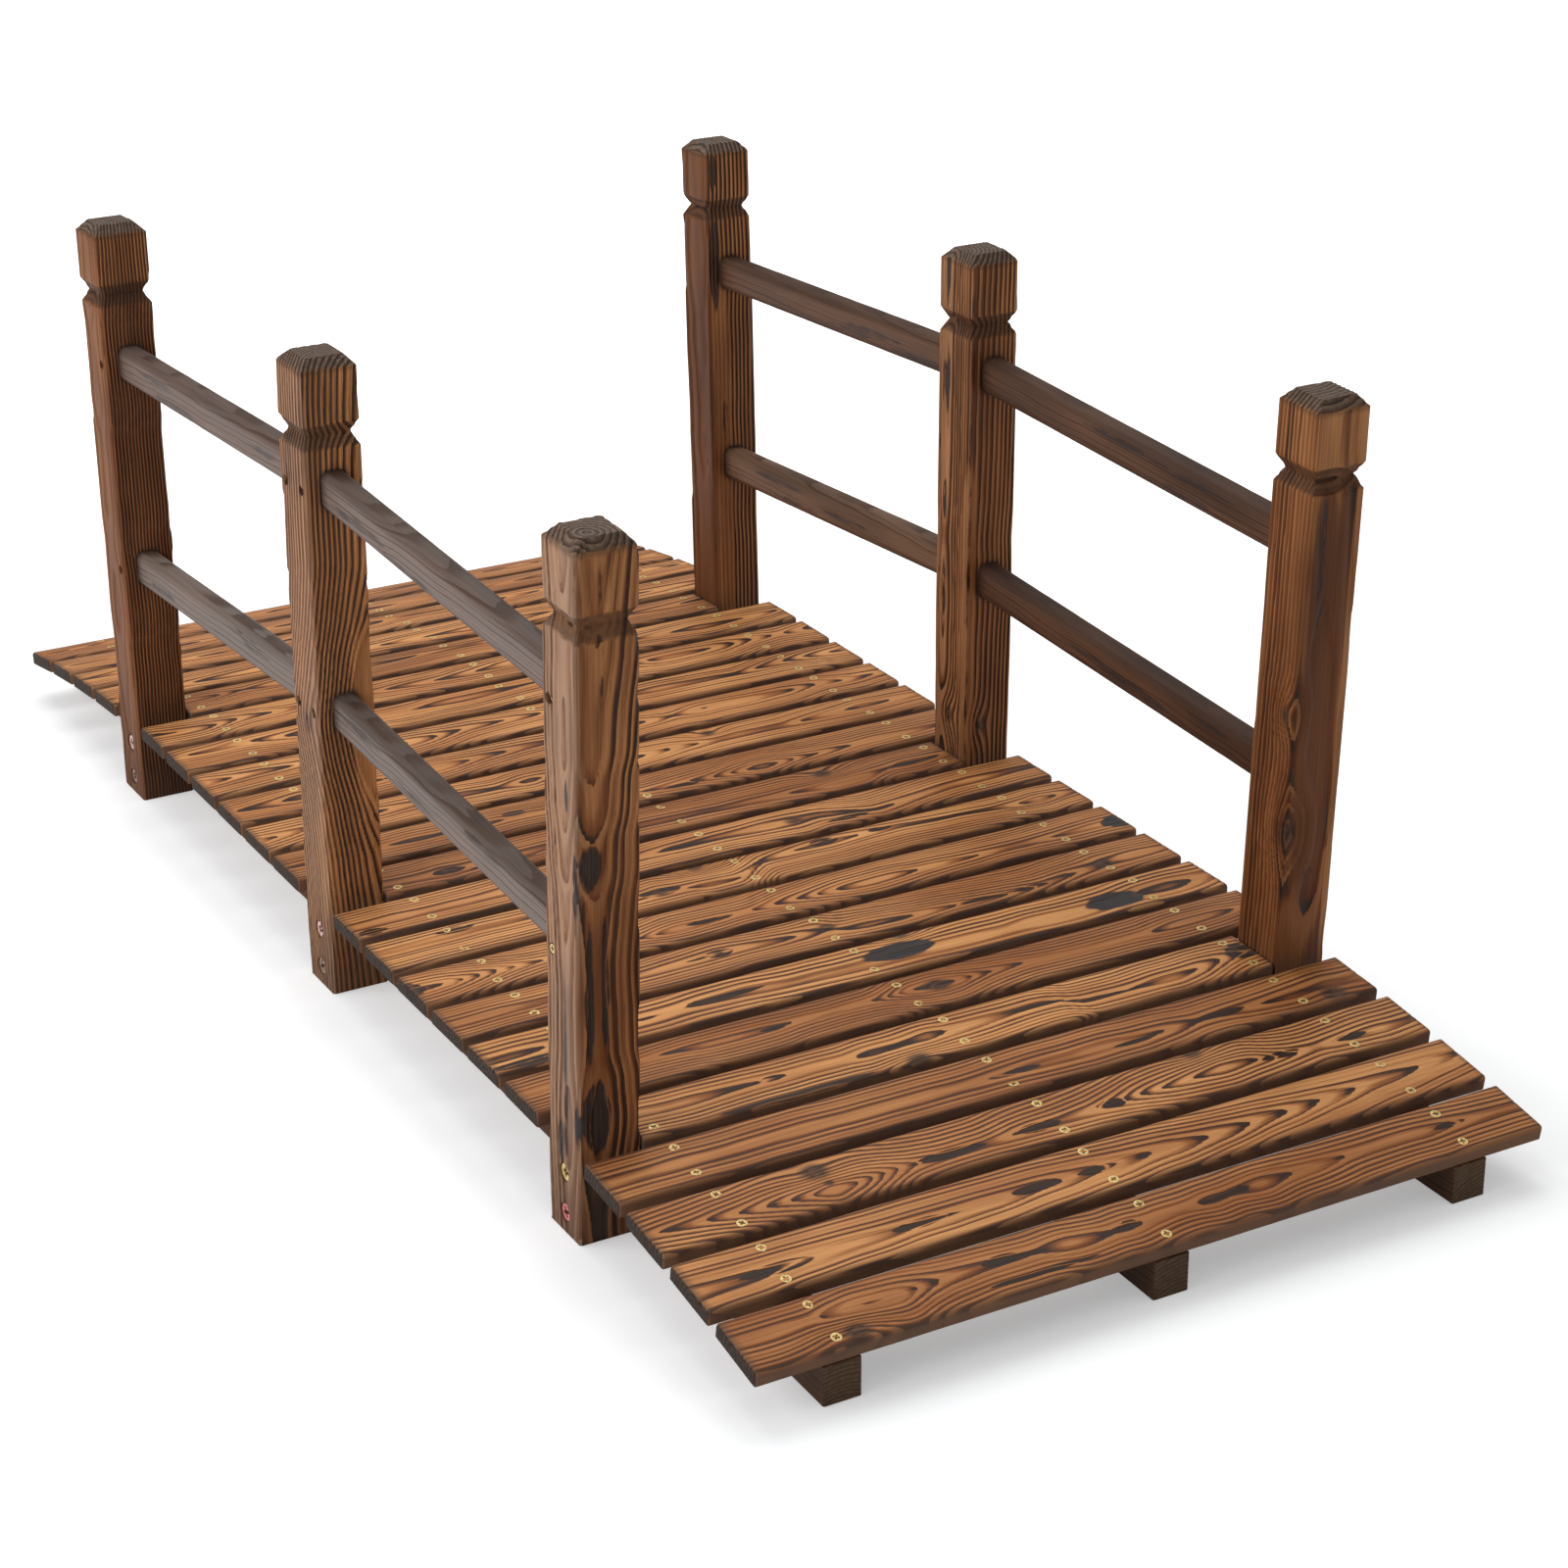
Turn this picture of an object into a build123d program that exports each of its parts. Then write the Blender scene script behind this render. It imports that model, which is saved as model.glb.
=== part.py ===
from build123d import *
import os
from itertools import product
from math import asin, atan2, cos, degrees, floor, hypot, radians, sin, tan

# A small free-standing garden bridge of stained fir: a plank deck screwed to three stringers,
# with a post-and-rail railing on each side. Millimetres. X runs across the deck, Y along it from
# the front end to the back end, and Z up. The origin is on the ground under the middle of the deck.

# Deck planks: as many rows as fit the length with this gap or more, spread evenly
overall_length = 1500.0
full_plank_length = 670.0
plank_width = 56.0
plank_thickness = 13.0
least_plank_gap = 9.0
plank_top_radius = 3.6
plank_bottom_chamfer = 1.2

# Stringers: straight on the ground, level on top over the middle, curved down towards both ends
stringer_width = 30.0
stringer_height = 68.0
level_run_half = 355.0
end_curve_radius = 2100.0
stringer_end_reveal = 0.8
stringer_edge_chamfer = 1.2
middle_stringer_x = 0.0

# Posts: one pair in the middle row, and one pair in the row nearest this distance along the deck
end_post_distance = 460.0
post_size = 50.0
post_height = 546.0
post_edge_chamfer = 1.8
clear_width = 566.0
end_post_splay = 2.1
butt_gap = 0.4

# Head of a post: a block over a V-shaped neck, its top edges cut back to a smaller flat
cap_rise = 9.0
cap_inset = 8.2
head_side_height = 43.5
neck_height = 21.6
neck_depth = 5.8

# Screw recesses in the posts' outer faces: two at the foot, into the stringer, and one for each rail end
foot_recess_diameter = 15.0
foot_recess_depth = 4.0
lower_foot_screw_z = 16.0
upper_foot_screw_z = 50.0
rail_recess_diameter = 9.0
rail_recess_depth = 4.0

# Rails, let into blind pockets in the posts. Heights are of the rail's axis at a post's centre line.
rail_width = 22.0
rail_height = 32.0
rail_corner_radius = 8.0
rail_seat_depth = 18.0
pocket_clearance = 0.3
upper_rail_at_middle = 440.0
upper_rail_at_end = 419.0
lower_rail_at_middle = 251.0
lower_rail_at_end = 225.0

# The end plank's rounded outer edge is the end of the bridge, and its place sets the pitch of the rows
outer_edge_radius = end_curve_radius + plank_thickness - plank_top_radius
outer_edge_run = plank_width / 2 - plank_top_radius
outer_edge_reach = overall_length / 2 - level_run_half - plank_top_radius
end_turn = asin(outer_edge_reach / hypot(outer_edge_radius, outer_edge_run))
end_turn -= atan2(outer_edge_run, outer_edge_radius)
end_row_distance = level_run_half + end_curve_radius * end_turn
rows_each_side = floor(end_row_distance / (plank_width + least_plank_gap))
plank_pitch = end_row_distance / rows_each_side
end_post_row = round(end_post_distance / plank_pitch)

post_x = clear_width / 2 + post_size / 2
outer_stringer_x = clear_width / 2 - stringer_width / 2
sides = {"left": -1, "right": 1}
post_rows = {"front": -end_post_row, "middle": 0, "back": end_post_row}
rail_levels = {
    "upper": (upper_rail_at_middle, upper_rail_at_end),
    "lower": (lower_rail_at_middle, lower_rail_at_end),
}


def bearing_point(distance):
    """Place and slope of the stringers' top edge, at a distance from the middle along that edge."""
    beyond = max(abs(distance) - level_run_half, 0.0)
    turn = beyond / end_curve_radius
    side = 1 if distance > 0 else -1
    y = abs(distance) if beyond == 0 else level_run_half + end_curve_radius * sin(turn)
    z = stringer_height - end_curve_radius * (1 - cos(turn))
    return side * y, z, -side * degrees(turn)


def row_y(row):
    """Y of the middle of a plank row."""
    return bearing_point(row * plank_pitch)[0]


stringer_end_y = row_y(rows_each_side) + plank_width / 2 * cos(end_turn) + stringer_end_reveal


def deck_plank(row):
    """One plank, bedded on the stringers. A row that meets the posts is cut to fit between them."""
    meets_post = row in post_rows.values()
    length = clear_width - 2 * butt_gap if meets_post else full_plank_length
    section = Plane.YZ * Pos(0, plank_thickness / 2) * Rectangle(plank_width, plank_thickness)
    corners = section.vertices().sort_by(Axis.Z)
    section = fillet(corners[2:], plank_top_radius)
    section = chamfer(section.vertices().sort_by(Axis.Z)[:2], plank_bottom_chamfer)
    y, z, slope = bearing_point(row * plank_pitch)
    return Pos(0, y, z) * Rot(slope, 0, 0) * extrude(section, amount=length / 2, both=True)


def stringer(x):
    """A board on edge. Its straight bottom lies on the ground, and its top carries the planks."""
    turn = degrees(asin((stringer_end_y - level_run_half) / end_curve_radius))
    curve_centre_z = stringer_height - end_curve_radius
    back_curve = CenterArc((level_run_half, curve_centre_z), end_curve_radius, 90, -turn)
    front_curve = CenterArc((-level_run_half, curve_centre_z), end_curve_radius, 90, turn)
    level_run = Line(front_curve @ 0, back_curve @ 0)
    back_end = Line(back_curve @ 1, (stringer_end_y, 0))
    bottom = Line((stringer_end_y, 0), (-stringer_end_y, 0))
    front_end = Line((-stringer_end_y, 0), front_curve @ 1)
    outline = make_face([level_run, back_curve, back_end, bottom, front_end, front_curve])
    board = extrude(Plane.YZ * outline, amount=stringer_width / 2, both=True)
    bottom_edges = board.edges().filter_by(Axis.Y).group_by(Axis.Z)[0]
    return Pos(x, 0, 0) * chamfer(bottom_edges, stringer_edge_chamfer)


def centre_line_y(place, z):
    """Y of a post's centre line at a height. End posts lean outwards."""
    outward = {"front": -1, "middle": 0, "back": 1}[place]
    return row_y(post_rows[place]) + outward * z * tan(radians(end_post_splay))


def rail_line(side, bay, level):
    """Start, direction and length of a rail's axis, from the middle post's centre line to the end post's."""
    at_middle, at_end = rail_levels[level]
    x = sides[side] * post_x
    start = Vector(x, centre_line_y("middle", at_middle), at_middle)
    end = Vector(x, centre_line_y(bay, at_end), at_end)
    return start, (end - start).normalized(), (end - start).length


def rail_body(side, bay, level, grow=0.0):
    """A rail from seat to seat. grow widens it all round and at its ends, to cut its pockets."""
    start, axis, span = rail_line(side, bay, level)
    seat = post_size / 2 - rail_seat_depth
    width, height = rail_width + 2 * grow, rail_height + 2 * grow
    corner = min(rail_corner_radius + grow, 0.49 * width, 0.49 * height)
    section_plane = Plane(origin=start + axis * (seat - grow), x_dir=(1, 0, 0), z_dir=axis)
    section = section_plane * RectangleRounded(width, height, corner)
    return extrude(section, amount=span - 2 * seat + 2 * grow)


def screw_recess(side, y, z, diameter, depth):
    """A round recess in a post's outer face."""
    outer_face_x = sides[side] * (post_x + post_size / 2)
    return Pos(outer_face_x, y, z) * Rot(0, 90, 0) * Cylinder(diameter / 2, 2 * depth)


def post_blank(below_ground):
    """A square post standing on its foot, with a V-shaped neck and a chamfered head."""
    head_edge = post_height - cap_rise
    head_base = head_edge - head_side_height
    levels = [
        (-below_ground, post_size),
        (head_base - neck_height, post_size),
        (head_base - neck_height / 2, post_size - 2 * neck_depth),
        (head_base, post_size),
        (head_edge, post_size),
        (post_height, post_size - 2 * cap_inset),
    ]
    sections = []
    for z, size in levels:
        square = Rectangle(size, size)
        sections.append(Pos(0, 0, z) * chamfer(square.vertices(), post_edge_chamfer))
    return loft(sections, ruled=True)


def post(side, place):
    """A post at its row. End posts lean outwards and are cut level at the ground."""
    lean = {"front": end_post_splay, "middle": 0.0, "back": -end_post_splay}[place]
    spare_foot = post_size * tan(radians(end_post_splay))
    blank = post_blank(0.0 if place == "middle" else spare_foot)
    foot = Pos(sides[side] * post_x, row_y(post_rows[place]), 0)
    body = foot * Rot(lean, 0, 0) * blank
    if place != "middle":
        body = split(body, bisect_by=Plane.XY, keep=Keep.TOP)
    for z in (lower_foot_screw_z, upper_foot_screw_z):
        body -= screw_recess(side, centre_line_y(place, z), z, foot_recess_diameter, foot_recess_depth)
    bays = ("front", "back") if place == "middle" else (place,)
    screw_inset = post_size / 2 - rail_seat_depth / 2
    for bay, level in product(bays, rail_levels):
        start, axis, span = rail_line(side, bay, level)
        screw = start + axis * (screw_inset if place == "middle" else span - screw_inset)
        body -= rail_body(side, bay, level, pocket_clearance)
        body -= screw_recess(side, screw.Y, screw.Z, rail_recess_diameter, rail_recess_depth)
    return body


def build_nodes():
    """All sub-parts by name."""
    nodes = {}
    for row in range(-rows_each_side, rows_each_side + 1):
        nodes[f"deck_plank_{row + rows_each_side + 1:02d}"] = deck_plank(row)
    nodes["left_stringer"] = stringer(-outer_stringer_x)
    nodes["middle_stringer"] = stringer(middle_stringer_x)
    nodes["right_stringer"] = stringer(outer_stringer_x)
    for side in sides:
        for place in post_rows:
            nodes[f"{place}_{side}_post"] = post(side, place)
        for bay, level in product(("front", "back"), rail_levels):
            nodes[f"{bay}_{side}_{level}_rail"] = rail_body(side, bay, level)
    return nodes


os.makedirs("parts", exist_ok=True)
for name, shape in build_nodes().items():
    export_step(shape, f"parts/{name}.step")
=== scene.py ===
from itertools import product
from math import cos, pi, radians, sin

import bpy
import numpy as np
from mathutils import Matrix, Vector


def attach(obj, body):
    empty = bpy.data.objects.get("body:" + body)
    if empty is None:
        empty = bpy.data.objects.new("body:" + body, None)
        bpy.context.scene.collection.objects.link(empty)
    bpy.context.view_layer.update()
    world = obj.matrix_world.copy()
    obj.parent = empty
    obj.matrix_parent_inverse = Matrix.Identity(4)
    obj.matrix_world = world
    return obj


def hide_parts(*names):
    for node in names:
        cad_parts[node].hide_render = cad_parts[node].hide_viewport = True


# The looks of a small garden bridge of stained, charred and brushed fir. Metres, in the CAD's frame:
# X across the deck, Y along it from front to back, Z up. Each board is remade as a fine mesh whose
# points carry the growth rings of the log it was cut from, and one shader turns those into grain.

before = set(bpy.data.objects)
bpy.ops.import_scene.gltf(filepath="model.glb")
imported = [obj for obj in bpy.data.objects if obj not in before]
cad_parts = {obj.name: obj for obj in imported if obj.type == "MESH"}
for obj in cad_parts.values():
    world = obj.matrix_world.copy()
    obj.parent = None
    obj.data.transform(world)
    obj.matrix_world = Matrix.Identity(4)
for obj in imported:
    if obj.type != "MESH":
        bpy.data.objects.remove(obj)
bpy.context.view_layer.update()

# Shapes that the frame's boxes don't give, as the CAD has them
PLANK_TOP_RADIUS = 0.0036
BOTTOM_CHAMFER = 0.0012
POST_EDGE = 0.0018
CAP_RISE = 0.009
CAP_INSET = 0.0082
HEAD_SIDE_HEIGHT = 0.0435
NECK_HEIGHT = 0.0216
NECK_DEPTH = 0.0058
RAIL_CORNER_RADIUS = 0.008
RAIL_SEAT_DEPTH = 0.018
POCKET_CLEARANCE = 0.0003
FOOT_RECESS_RADIUS = 0.0075
FOOT_SCREW_HEIGHTS = (0.016, 0.050)
RAIL_RECESS_RADIUS = 0.0045
RECESS_DEPTH = 0.004

# How far the boards' end edges are eased, how deep brushing has taken the soft part of their rings, and
# how deep the planks' long edges are worn
END_EASING = 0.0006
PLANK_END_EASING = 0.0014
PLANK_GROOVE = 0.0004
STRINGER_GROOVE = 0.0002
RAIL_GROOVE = 0.00012
POST_GROOVE = 0.0011
PLANK_EDGE_WEAR = 0.00022

# The boards' meshes: spacing or number of rows along them, and points along a post's side
PLANK_ROW_SPACING = 0.0067
STRINGER_ROWS = 121
RAIL_ROWS = 75
POST_SHAFT_ROWS = 100
POST_SIDE_POINTS = 43

# Screws: their radii, how far apart across a plank, and how far over or under the wood their heads lie
DECK_SCREW_RADIUS = 0.0040
DECK_SCREW_SPREAD = 0.0180
DECK_SCREW_LIFT = 0.00015
FOOT_SCREW_RADIUS = 0.0068
FOOT_SCREW_SINK = 0.0016
RAIL_SCREW_RADIUS = 0.0036
RAIL_SCREW_SINK = 0.0036
SHALLOW_RAIL_SCREW_SINK = 0.0008

# Which way along X each side's outer face looks
OUTWARD = {"left": -1, "right": 1}

# Foot screws that aren't brass-coloured
FOOT_SCREW_COLOURS = {
    ("front", "left", FOOT_SCREW_HEIGHTS[0]): "pink",
    ("middle", "left", FOOT_SCREW_HEIGHTS[0]): "brown",
    ("middle", "left", FOOT_SCREW_HEIGHTS[1]): "pale",
    ("back", "left", FOOT_SCREW_HEIGHTS[0]): "brown",
    ("back", "left", FOOT_SCREW_HEIGHTS[1]): "pale",
}

# A pith's path: how finely it is drawn, how far it runs past the board, how many points blur it, and the
# lengths of the waves in it
PATH_STEP = 0.002
PATH_SPARE = 0.12
PATH_BLUR_POINTS = 15
PATH_WAVES = (0.37, 0.19, 0.097, 0.051)

# How far from a knot it bends the rings, in its own radii along, across and in depth
KNOT_REACH = (3.0, 1.7, 2.0)

# How broad a ring has to come out on a face before its dark line starts to widen, and where it is widest
BROAD_RINGS = (0.0045, 0.016)


class Board:
    """Where a CAD node is: its turn about X, its centre, and its half sizes along its own axes."""

    def __init__(self, node):
        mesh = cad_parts[node].data
        facing = sum(face.area * complex(face.normal.y, face.normal.z) ** 4 for face in mesh.polygons)
        turn = np.angle(facing) / 4
        self.axes = np.array([[1, 0, 0], [0, cos(turn), sin(turn)], [0, -sin(turn), cos(turn)]])
        self.corners = np.array([v.co for v in mesh.vertices])
        local = self.corners @ self.axes.T
        low, high = local.min(0), local.max(0)
        self.half = (high - low) / 2
        self.centre = (high + low) / 2 @ self.axes

    def to_world(self, local):
        return local @ self.axes + self.centre

    def to_local(self, points):
        return (points - self.centre) @ self.axes.T


class Grain:
    """The growth rings of a board: nested cones round a pith, bent round the board's knots.

    Places are (along, across, depth) in the board's own axes. The path gives the pith's place across,
    its place in depth and the rings' rise, all in metres, at some places along, and each knot is
    (along, across, depth, radius, bend). A heart is the radius inside which the rings have another width.
    """

    def __init__(
        self, seed, ring_width, path, knots=(), wander=0.0010, phase=0.0, unevenness=0.15, heart=None,
    ):
        random = np.random.default_rng(seed)
        path = np.array(path)
        self.ring_width = ring_width
        self.knots = knots
        self.phase = phase
        self.unevenness = unevenness
        self.heart = heart
        self.ripple = 0.24 * wander
        self.fine = np.arange(path[0, 0] - PATH_SPARE, path[-1, 0] + PATH_SPARE, PATH_STEP)
        blur = np.exp(-np.linspace(-2, 2, PATH_BLUR_POINTS) ** 2)
        blur = blur / blur.sum()
        self.tracks = []
        for axis, share in ((1, 1.0), (2, 0.5), (3, 0.3)):
            track = np.interp(self.fine, path[:, 0], path[:, axis])
            track = np.convolve(np.pad(track, PATH_BLUR_POINTS // 2, mode="edge"), blur, "valid")
            for length in PATH_WAVES:
                reach = share * wander * (length / PATH_WAVES[0]) ** 0.6
                track = track + reach * np.sin(2 * pi * self.fine / length + random.uniform(0, 2 * pi))
            self.tracks.append(track)
        self.ripples = [
            (*random.uniform((15, 20, 20), (75, 95, 95)), random.uniform(0, 2 * pi)) for _ in range(6)
        ]
        self.beat = random.uniform(0, 2 * pi)
        self.offset = random.uniform(0, 50, 3)

    def rings(self, *place):
        """How many rings each point is from the pith."""
        along, across, depth = place
        pith_across, pith_depth, rise = (np.interp(along, self.fine, track) for track in self.tracks)
        radius = np.hypot(across - pith_across, depth - pith_depth) + rise
        for rate_along, rate_across, rate_depth, phase in self.ripples:
            wave = rate_along * along + rate_across * across + rate_depth * depth + phase
            radius = radius + self.ripple * np.sin(wave)
        for *knot_place, knot_radius, bend in self.knots:
            near = sum(
                ((here - there) / (reach * knot_radius)) ** 2
                for here, there, reach in zip(place, knot_place, KNOT_REACH)
            )
            radius = radius + 1.5 * bend * knot_radius * np.exp(-near)
        rings = radius / self.ring_width + self.phase
        if self.heart:
            heart_radius, heart_ring_width = self.heart
            inside = np.minimum(radius - heart_radius, 0)
            rings = rings + inside / heart_ring_width - inside / self.ring_width
        return rings + self.unevenness * np.sin(2 * pi * rings / 5.3 + self.beat)

    def breadth(self, along, across, depth, facing):
        """How broad the rings come out on a surface that faces a given way, in metres."""
        step = 0.0004
        here = self.rings(along, across, depth)
        slopes = np.stack([
            self.rings(along + step, across, depth) - here,
            self.rings(along, across + step, depth) - here,
            self.rings(along, across, depth + step) - here,
        ], 1) / step
        slopes = slopes - (slopes * facing).sum(1)[:, None] * facing
        return 1 / np.maximum(np.linalg.norm(slopes, axis=1), 1.0)

    def knot(self, along, across, depth):
        """How far into a knot each point is, from 0 outside to 1 inside."""
        inside = np.zeros_like(along)
        for knot_along, knot_across, knot_depth, knot_radius, _ in self.knots:
            away = ((along - knot_along) / 1.25) ** 2 + (across - knot_across) ** 2
            away = np.sqrt(away + (depth - knot_depth) ** 2)
            inside = np.maximum(inside, 1 - smooth(away / knot_radius, 0.45, 1.15))
        return inside


def smooth(value, low, high):
    """0 below low, 1 above high, and an eased step between them."""
    share = np.clip((value - low) / (high - low), 0, 1)
    return share * share * (3 - 2 * share)


def groove(rings):
    """How deep each part of a ring is brushed out, from 0 to 1: deepest by the shader's dark line."""
    share = rings % 1.0
    return smooth(share, 0.35, 0.78) * (1 - smooth(share, 0.92, 1.0))


def relief_at(grain, along, across, depth, step, finest):
    """The groove, faded out where the rings come closer together than the mesh can show."""
    here = grain.rings(along, across, depth)
    moved = grain.rings(along, across + step[0], depth + step[1])
    per_metre = np.abs(moved - here) / np.hypot(*step)
    return groove(here) * (1 - smooth(per_metre * finest, 0.6, 1.0))


def new_piece(name, points, faces):
    """A mesh object in the scene."""
    mesh = bpy.data.meshes.new(name)
    mesh.from_pydata(points, [], faces)
    mesh.update()
    piece = bpy.data.objects.new(name, mesh)
    bpy.context.scene.collection.objects.link(piece)
    return piece


def loft_mesh(name, rows):
    """A closed tube through rows of points, each (points, 3), with a fan of faces over each end."""
    count_rows, count, _ = rows.shape
    points = np.concatenate([rows.reshape(-1, 3), rows[:1].mean(1), rows[-1:].mean(1)])
    here = np.arange(count)
    there = (here + 1) % count
    faces = []
    for row in range(count_rows - 1):
        base, above = row * count, (row + 1) * count
        faces.append(np.stack([base + here, base + there, above + there, above + here], 1))
    first, last = count_rows * count, count_rows * count + 1
    top = (count_rows - 1) * count
    fans = np.concatenate([
        np.stack([there, here, np.full(count, first)], 1),
        np.stack([top + here, top + there, np.full(count, last)], 1),
    ])
    return new_piece(name, points, np.concatenate(faces).tolist() + fans.tolist())


def with_caps(section, alongs, easing, make_row):
    """Rows along a board, with eased end edges and end faces drawn in to the section's centre."""
    start, end = alongs[0], alongs[-1]
    shrinks = (0.04, 0.3, 0.55, 0.8)
    rows = [make_row(start, section * shrink) for shrink in shrinks]
    rows.append(make_row(start, inset(section, easing)))
    rows.append(make_row(start + easing, section))
    rows.extend(make_row(along, section) for along in alongs[1:-1])
    rows.append(make_row(end - easing, section))
    rows.append(make_row(end, inset(section, easing)))
    rows.extend(make_row(end, section * shrink) for shrink in reversed(shrinks))
    return np.array(rows)


def outward(section):
    """Unit normals of a closed section that runs anticlockwise."""
    tangent = np.roll(section, -1, 0) - np.roll(section, 1, 0)
    normal = np.stack([tangent[:, 1], -tangent[:, 0]], 1)
    return normal / np.linalg.norm(normal, axis=1, keepdims=True)


def inset(section, distance):
    """A closed section drawn in by a distance all round."""
    return section - outward(section) * distance


def arc(centre, radius, start, end, steps):
    angles = np.radians(np.linspace(start, end, steps))
    return np.stack([centre[0] + radius * np.cos(angles), centre[1] + radius * np.sin(angles)], 1)


def line(start, end, steps):
    """Points from start up to, but not at, end."""
    share = np.linspace(0, 1, steps, endpoint=False)[:, None]
    return np.array(start) * (1 - share) + np.array(end) * share


def polygon(*corners):
    """A closed section through corners, each (place, steps to the next corner)."""
    places = [place for place, _ in corners]
    ends = places[1:] + places[:1]
    return np.concatenate([line(place, end, steps) for (place, steps), end in zip(corners, ends)])


def within(place, spot, powers, soft):
    """How far inside a long patch each place is, from 0 to 1.

    The spot is the patch's place and its half length and half width. powers says how square its ends and
    sides are, and soft where its edge starts and stops fading.
    """
    along, across, depth = place
    spot_along, spot_across, spot_depth, half_length, half_width = spot
    away = ((along - spot_along) / half_length) ** powers[0]
    away = away + (np.hypot(across - spot_across, depth - spot_depth) / half_width) ** powers[1]
    return 1 - smooth(away, *soft)


def dress(piece, board, grain, order, stain_and_shade, faintest, scorches=(), smooths=()):
    """Writes what the wood shader reads at each point.

    rings and places say where the point is in the log. finish is charring with painted shade, knot, end
    grain and tone, burn is broad rings, scorch and plainness, and look is weathering with painted sheen,
    slate colour and the faintest ring's strength. stain gives charring with painted shade, end grain, tone,
    plainness, and weathering with painted sheen from 0 to 1 at local points, and each scorch is (along,
    across, depth, half length, half width, strength, slate). smooths are patches like the scorches where the
    rings fade, with how much darker they are in place of slate.
    """
    mesh = piece.data
    count = len(mesh.vertices)
    points, normals = np.empty(count * 3), np.empty(count * 3)
    mesh.vertices.foreach_get("co", points)
    mesh.vertices.foreach_get("normal", normals)
    local = board.to_local(points.reshape(-1, 3))
    facing = (normals.reshape(-1, 3) @ board.axes.T)[:, order]
    place = [local[:, axis] for axis in order]
    char_and_shade, end, tone, plain, weather_and_sheen = (np.broadcast_to(value, count) for value in stain_and_shade(local))
    for *spot, strength, darker in smooths:
        here = within(place, spot, (4, 4), (0.4, 1.6))
        plain = np.maximum(plain, strength * here)
        tone = tone - darker * here
    scorched, slate = np.zeros(count), np.zeros(count)
    for *spot, strength, greyness in scorches:
        here = strength * within(place, spot, (2, 1.5), (0.2, 1.8))
        slate = np.where(here > scorched, greyness, slate)
        scorched = np.maximum(scorched, here)
    broad = smooth(grain.breadth(*place, facing), *BROAD_RINGS)
    put(mesh, "rings", "FLOAT", grain.rings(*place))
    put(mesh, "places", "FLOAT_VECTOR", np.stack(place, 1) + grain.offset)
    put(mesh, "finish", "FLOAT_COLOR", np.stack([char_and_shade, grain.knot(*place), end, tone], 1))
    put(mesh, "burn", "FLOAT_VECTOR", np.stack([broad, scorched, plain], 1))
    put(mesh, "look", "FLOAT_VECTOR", np.stack([weather_and_sheen, slate, np.full(count, faintest)], 1))
    shade_smooth(mesh, 38)


def shade_smooth(mesh, sharpest):
    """Shades a mesh smooth, but for edges sharper than so many degrees."""
    mesh.polygons.foreach_set("use_smooth", [True] * len(mesh.polygons))
    mesh.set_sharp_from_angle(angle=radians(sharpest))


def put(mesh, name, kind, values):
    """Writes a named value at each point of a mesh, for a shader to read."""
    layer = mesh.attributes.new(name, kind, "POINT")
    field = {"FLOAT": "value", "FLOAT_VECTOR": "vector", "FLOAT_COLOR": "color"}[kind]
    layer.data.foreach_set(field, np.ascontiguousarray(values, np.float32).ravel())


def stand_in(piece, node, material):
    """Gives a piece its material, and puts it in the place of a CAD node."""
    piece.data.materials.append(material)
    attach(piece, "root")
    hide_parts(node)


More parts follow.
